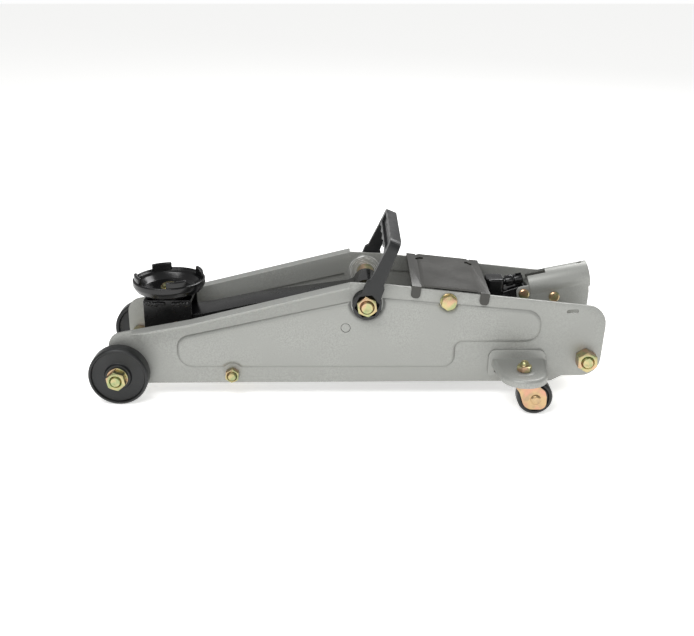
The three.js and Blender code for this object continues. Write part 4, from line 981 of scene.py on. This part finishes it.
tube = spun(
    rounded([(12.5, 7, 0.5), (15, 7, 0.8), (15, 75, 0.9), (12.5, 75, 0.6)], 4),
    along_socket(0, 5, 0),
    SOCKET_AXIS,
    steps=96,
)
cheek_side = rounded(
    [
        (-8, 9, 6), (-8, -7, 4), (-3, -12, 4), (17, -13, 8), (51, -26, 10), (67, -31, 4),
        (72, -12, 12), (73, 6, 2),
    ]
)
for low, high in ((10.2, 13.2), (-13.2, -10.2)):
    side_wall = solid(cheek_side, low, high, along_socket)
    round_edges(side_wall, 0.9, 3, lambda spot, angle: angle > SHARP and abs(spot.y) > 13.1)
    combine(tube, side_wall)
bore = rod(12.5, along_socket(-30, 5, 0), along_socket(90, 5, 0), 96)
throat = solid([(-20, -40), (49, -40), (49, 5), (-20, 5)], -10.2, 10.2, along_socket)
front_gap = solid([(-20, 5), (28, 5), (28, 30), (-20, 30)], -7.6, 7.6, along_socket)
cut(
    tube,
    bore,
    throat,
    front_gap,
    rod(2.9, along_socket(67, 10, 0), along_socket(67, 30, 0), 32),
    rod(5.3, along_socket(0, 0, -20), along_socket(0, 0, 20)),
    bar(5.3, ROLLER_PIN, -20, 20),
)
finish(tube, "handle_sleeve", silver_enamel, "socket", "handle_socket")


def headed_pin(name, node, spot, middle):
    """A pin across the socket with a riveted head at each end and a middle of another radius."""
    half = [(middle, 2), (middle, 9.2), (middle - 0.4, 9.9 if middle > 5 else 9.2)]
    half += [(4.9, 10), (4.9, 13.5), (5.7, 13.5), (6, 14), (5.8, 15.6), (4.6, 16.5), (0, 16.7)]
    made = spun(both_ways(half), in_middle(spot), (0, 1, 0))
    finish(made, name, yellow_zinc, "socket", node)


headed_pin("socket_hinge_pin", "socket_pivot_pin", SOCKET_PIVOT, 4.9)
headed_pin("pump_roller_pin", "roller_pin", ROLLER_PIN, 6)

# ---- Cover plate -------------------------------------------------------------------------------
# A 2 mm sheet laid over the hydraulic unit and hooked down over both plates at its corners. It is
# pressed up a little between two creases, and has two slots.

COVER_FALL = 0.1099
COVER_SLOPE = math.atan(COVER_FALL)
COVER_FRONT = (318, 128.25)


def on_cover(a, b, height):
    """Lays an outline drawn along the cover and above it, with its thickness across."""
    along, up = math.cos(COVER_SLOPE), math.sin(COVER_SLOPE)
    return place(COVER_FRONT[0] + a * along + b * up, height, COVER_FRONT[1] - a * up + b * along)


section = [
    (0, 0), (0, 2), (11, 2), (14, 3.3), (70, 3.3), (73, 2), (84.5, 2), (84.5, 0), (73.6, 0),
    (70.6, 1.3), (13.4, 1.3), (10.4, 0),
]
cover = solid(section, -59.3, 59.3, on_cover)
hook_side = rounded([(0, 1.9, 0.2), (10, 1.9, 0.2), (10, -11.6, 4), (0, -11.6, 4)], 6)
for low, high in ((57.3, 59.3), (-59.3, -57.3)):
    for start in (0, 74.5):
        hook = solid([(a + start, b) for a, b in hook_side], low, high, on_cover)
        combine(cover, hook)
round_edges(
    cover,
    1.1,
    3,
    lambda spot, angle: angle > SHARP
    and abs(spot.y) > 59.2
    and spot.z > COVER_FRONT[1] - COVER_FALL * (spot.x - COVER_FRONT[0]) + 1.5,
)
for low, high in ((56.2, 61), (-61, -56.2)):
    cut(cover, solid([(10.2, -2), (74.3, -2), (74.3, 6), (10.2, 6)], low, high, on_cover))
for start in (9.5, 66.5):
    slot_plan = rounded([(start, 37, 2), (start + 9, 37, 2), (start + 9, 44, 2), (start, 44, 2)], 4)
    cut(cover, solid(slot_plan, -3, 6, lambda a, b, h: on_cover(a, h, 0) + Vector((0, b * MM, 0))))
finish(cover, "hooked_cover", satin_black, "chassis", "cover_plate")

# ---- Carry handle ------------------------------------------------------------------------------
# Moulded in black nylon in one piece: two bosses that turn on the main pivot, with six-sided
# pockets round the nuts, two tapering arms, and a grip with a channel on each face and scallops for
# the fingers.

LEAN = math.radians(23)
HANDLE_OUT = Vector((math.sin(LEAN), 0, math.cos(LEAN)))
HANDLE_BACK = Vector((math.cos(LEAN), 0, -math.sin(LEAN)))


def leaning(a, b, height):
    """Lays an outline drawn behind and along the handle's arms, with its thickness across."""
    return place(PIVOT[0], height, PIVOT[1]) + (HANDLE_BACK * a + HANDLE_OUT * b) * MM


def grip_lay(a, b, height):
    """Lays an outline drawn across the jack and along the arms, with its thickness backwards."""
    return leaning(height, b, a)


arm_outline = rounded(
    [
        (-11, 4, 0), (11, 4, 0), (9.4, 25, 2), (6.8, 28, 2), (5.9, 67, 0), (-5.9, 67, 0),
        (-8.2, 28, 2), (-10.8, 25, 2),
    ]
)
grip_plan = [(-68, 57, 3), (-60.5, 57, 4)]
for i in range(9):
    grip_plan += [(-56 + 14 * i, 60.4 if i % 2 else 57, 5)]
grip_plan += [(60.5, 57, 4), (68, 57, 3), (68, 77.4, 13), (-68, 77.4, 13)]
grip = solid(rounded(grip_plan, 5), -6, 6, grip_lay)
for low, high in ((60.5, 68), (-68, -60.5)):
    combine(grip, solid(arm_outline, low, high, leaning))
for side in (-1, 1):
    start, end = place(PIVOT[0], side * 54.3, PIVOT[1]), place(PIVOT[0], side * 68, PIVOT[1])
    combine(grip, rod(15.5, start, end, 64))
round_edges(grip, 1.3, 3, lambda spot, angle: angle > SHARP and abs(spot.y) > 54.5)
channel = rounded([(-57, 62.5, 2), (57, 62.5, 2), (57, 73.5, 3), (-57, 73.5, 3)], 4)
finger = solid(channel, -9, -3.2, grip_lay)
back = solid(channel, 3.2, 9, grip_lay)
cut(grip, finger, back)
pocket = hexagon(23.6, 8)
for low, high in ((60, 80), (-80, -60)):
    cut(grip, solid(pocket, low, high, lambda a, b, h: place(PIVOT[0] + a, h, PIVOT[1] + b)))
cut(grip, bar(10.3, PIVOT, -60.1, 60.1, 64))
finish(grip, "carry_grip", black_nylon, "carry_handle", "carry_handle")

# ---- Casters -----------------------------------------------------------------------------------
# A pressed bracket welded low on each plate, with a shelf and a raised ring. A zinc plated fork
# swivels under it on a stud, and carries a small nylon wheel on a riveted axle.

SWIVEL = (437.3, 95)
CASTER_AXLE = (449.3, 19)


def pressed_bracket():
    """The right-hand bracket: a wall with rounded shoulders and a hollow shelf round the swivel."""
    wall_side = [
        (403.3, 26, 3), (470.3, 26, 3), (466.6, 50, 4), (463, 56, 6), (408, 56, 6), (404, 50, 3),
    ]
    wall = solid(rounded(wall_side), 57.3, 60.3, across)
    round_edges(wall, 1.5, 4, lambda spot, angle: angle > 50 and spot.y > 60.2 and spot.z > 40)
    front = [math.radians(172.2 - 164.4 * i / 40) for i in range(41)]

    def shelf_plan(radius, inset):
        edge = [(SWIVEL[0] + radius * math.cos(t), SWIVEL[1] + radius * math.sin(t)) for t in front]
        return [(467.3 - inset, 58), (407.3 + inset, 58)] + edge

    shelf = solid(shelf_plan(25, 0), 37, 46, upward)
    round_edges(shelf, 4, 7, lambda spot, angle: angle > SHARP and spot.z > 45.9 and spot.y > 58.5)
    round_edges(
        shelf, 0.8, 3, lambda spot, angle: angle > SHARP and spot.z < 37.1 and spot.y > 58.5
    )
    combine(wall, shelf)
    cut(wall, solid(shelf_plan(22, 3), 30, 43, upward))
    ring_side = [(5.2, 44, 0), (13.6, 44, 0), (12, 46.2, 2), (10.4, 47.2, 1.5), (5.2, 47.2, 0.3)]
    combine(wall, spun(rounded(ring_side, 6), place(*SWIVEL, 0), (0, 0, 1)))
    round_edges(
        wall,
        3.4,
        6,
        lambda spot, angle: angle > SHARP and abs(spot.y - 60.3) < 0.1 and abs(spot.z - 46) < 0.1,
    )
    return cut(wall, rod(5.2, place(*SWIVEL, 35), place(*SWIVEL, 60)))


finish_pair(
    pressed_bracket(), "caster_shelf", silver_enamel, "chassis", "caster_bracket"
)


def astride(outline, half_width):
    """A solid across the swivel, from an outline drawn from the swivel backwards."""
    points = [(SWIVEL[0] + a, b) for a, b in outline]
    return solid(points, SWIVEL[1] - half_width, SWIVEL[1] + half_width, across)


fork_side = rounded(
    [
        (-14, 42.7, 2.5), (14.5, 42.7, 2.5), (15, 34, 5), (21.5, 28.6, 6), (23.5, 22, 8),
        (23.5, 7.5, 11.4), (0.5, 7.5, 11.4), (-5.5, 27, 14), (-13.5, 38, 4),
    ]
)
right_fork = astride(fork_side, 12.7)
round_edges(right_fork, 1.8, 4, lambda spot, angle: angle > 40 and spot.z > 36)
under = [(-30, 39.9), (40, 39.9), (40, 0), (-30, 0)]
cut(right_fork, astride(under, 10.5), rod(5, place(*SWIVEL, 35), place(*SWIVEL, 50)))
finish_pair(right_fork, "caster_yoke", rosy_zinc, "caster_", "caster_fork")

right_stud = hex_nut(14, 0, place(*SWIVEL, 47.5), (0, 0, 1), 6.2, 10)
stud_side = [(0, 38.4), (7, 38.4), (7, 39.8), (4.8, 39.85)] + thread(4.8, 1.5, 47, 57)
stud_side += [(4, 57.4), (3.4, 58), (1.8, 58), (0, 56.9)]
combine(right_stud, spun(stud_side, place(*SWIVEL, 0), (0, 0, 1)))
finish_pair(right_stud, "swivel_stud", yellow_zinc, "caster_", "caster_stud")

caster_centre = place(CASTER_AXLE[0], SWIVEL[1], CASTER_AXLE[1])
caster_side = [
    (3.6, -9, 0.3), (7, -9, 0.6), (7.6, -7.4, 0.5), (14, -7.4, 0.8), (15, -9, 0.8),
    (17.6, -9, 1.2), (19, -6.5, 2.5), (19, 6.5, 2.5), (17.6, 9, 1.2), (15, 9, 0.8),
    (14, 7.4, 0.8), (7.6, 7.4, 0.5), (7, 9, 0.6), (3.6, 9, 0.3),
]
right_caster = spun(rounded(caster_side, 4), caster_centre, (0, 1, 0))
finish_pair(
    right_caster, "caster_roller", black_nylon, "caster_wheel_", "caster_wheel"
)
rivet = [(3.3, 4), (3.3, 12.7), (5.5, 12.75), (5.5, 13.6), (4.6, 14.6), (3, 15.1), (0, 15.1)]
right_rivet = spun(both_ways(rivet), caster_centre, (0, 1, 0))
finish_pair(right_rivet, "caster_rivet", rosy_zinc, "caster_", "caster_axle")
bpy.ops.object.select_all(action="DESELECT")
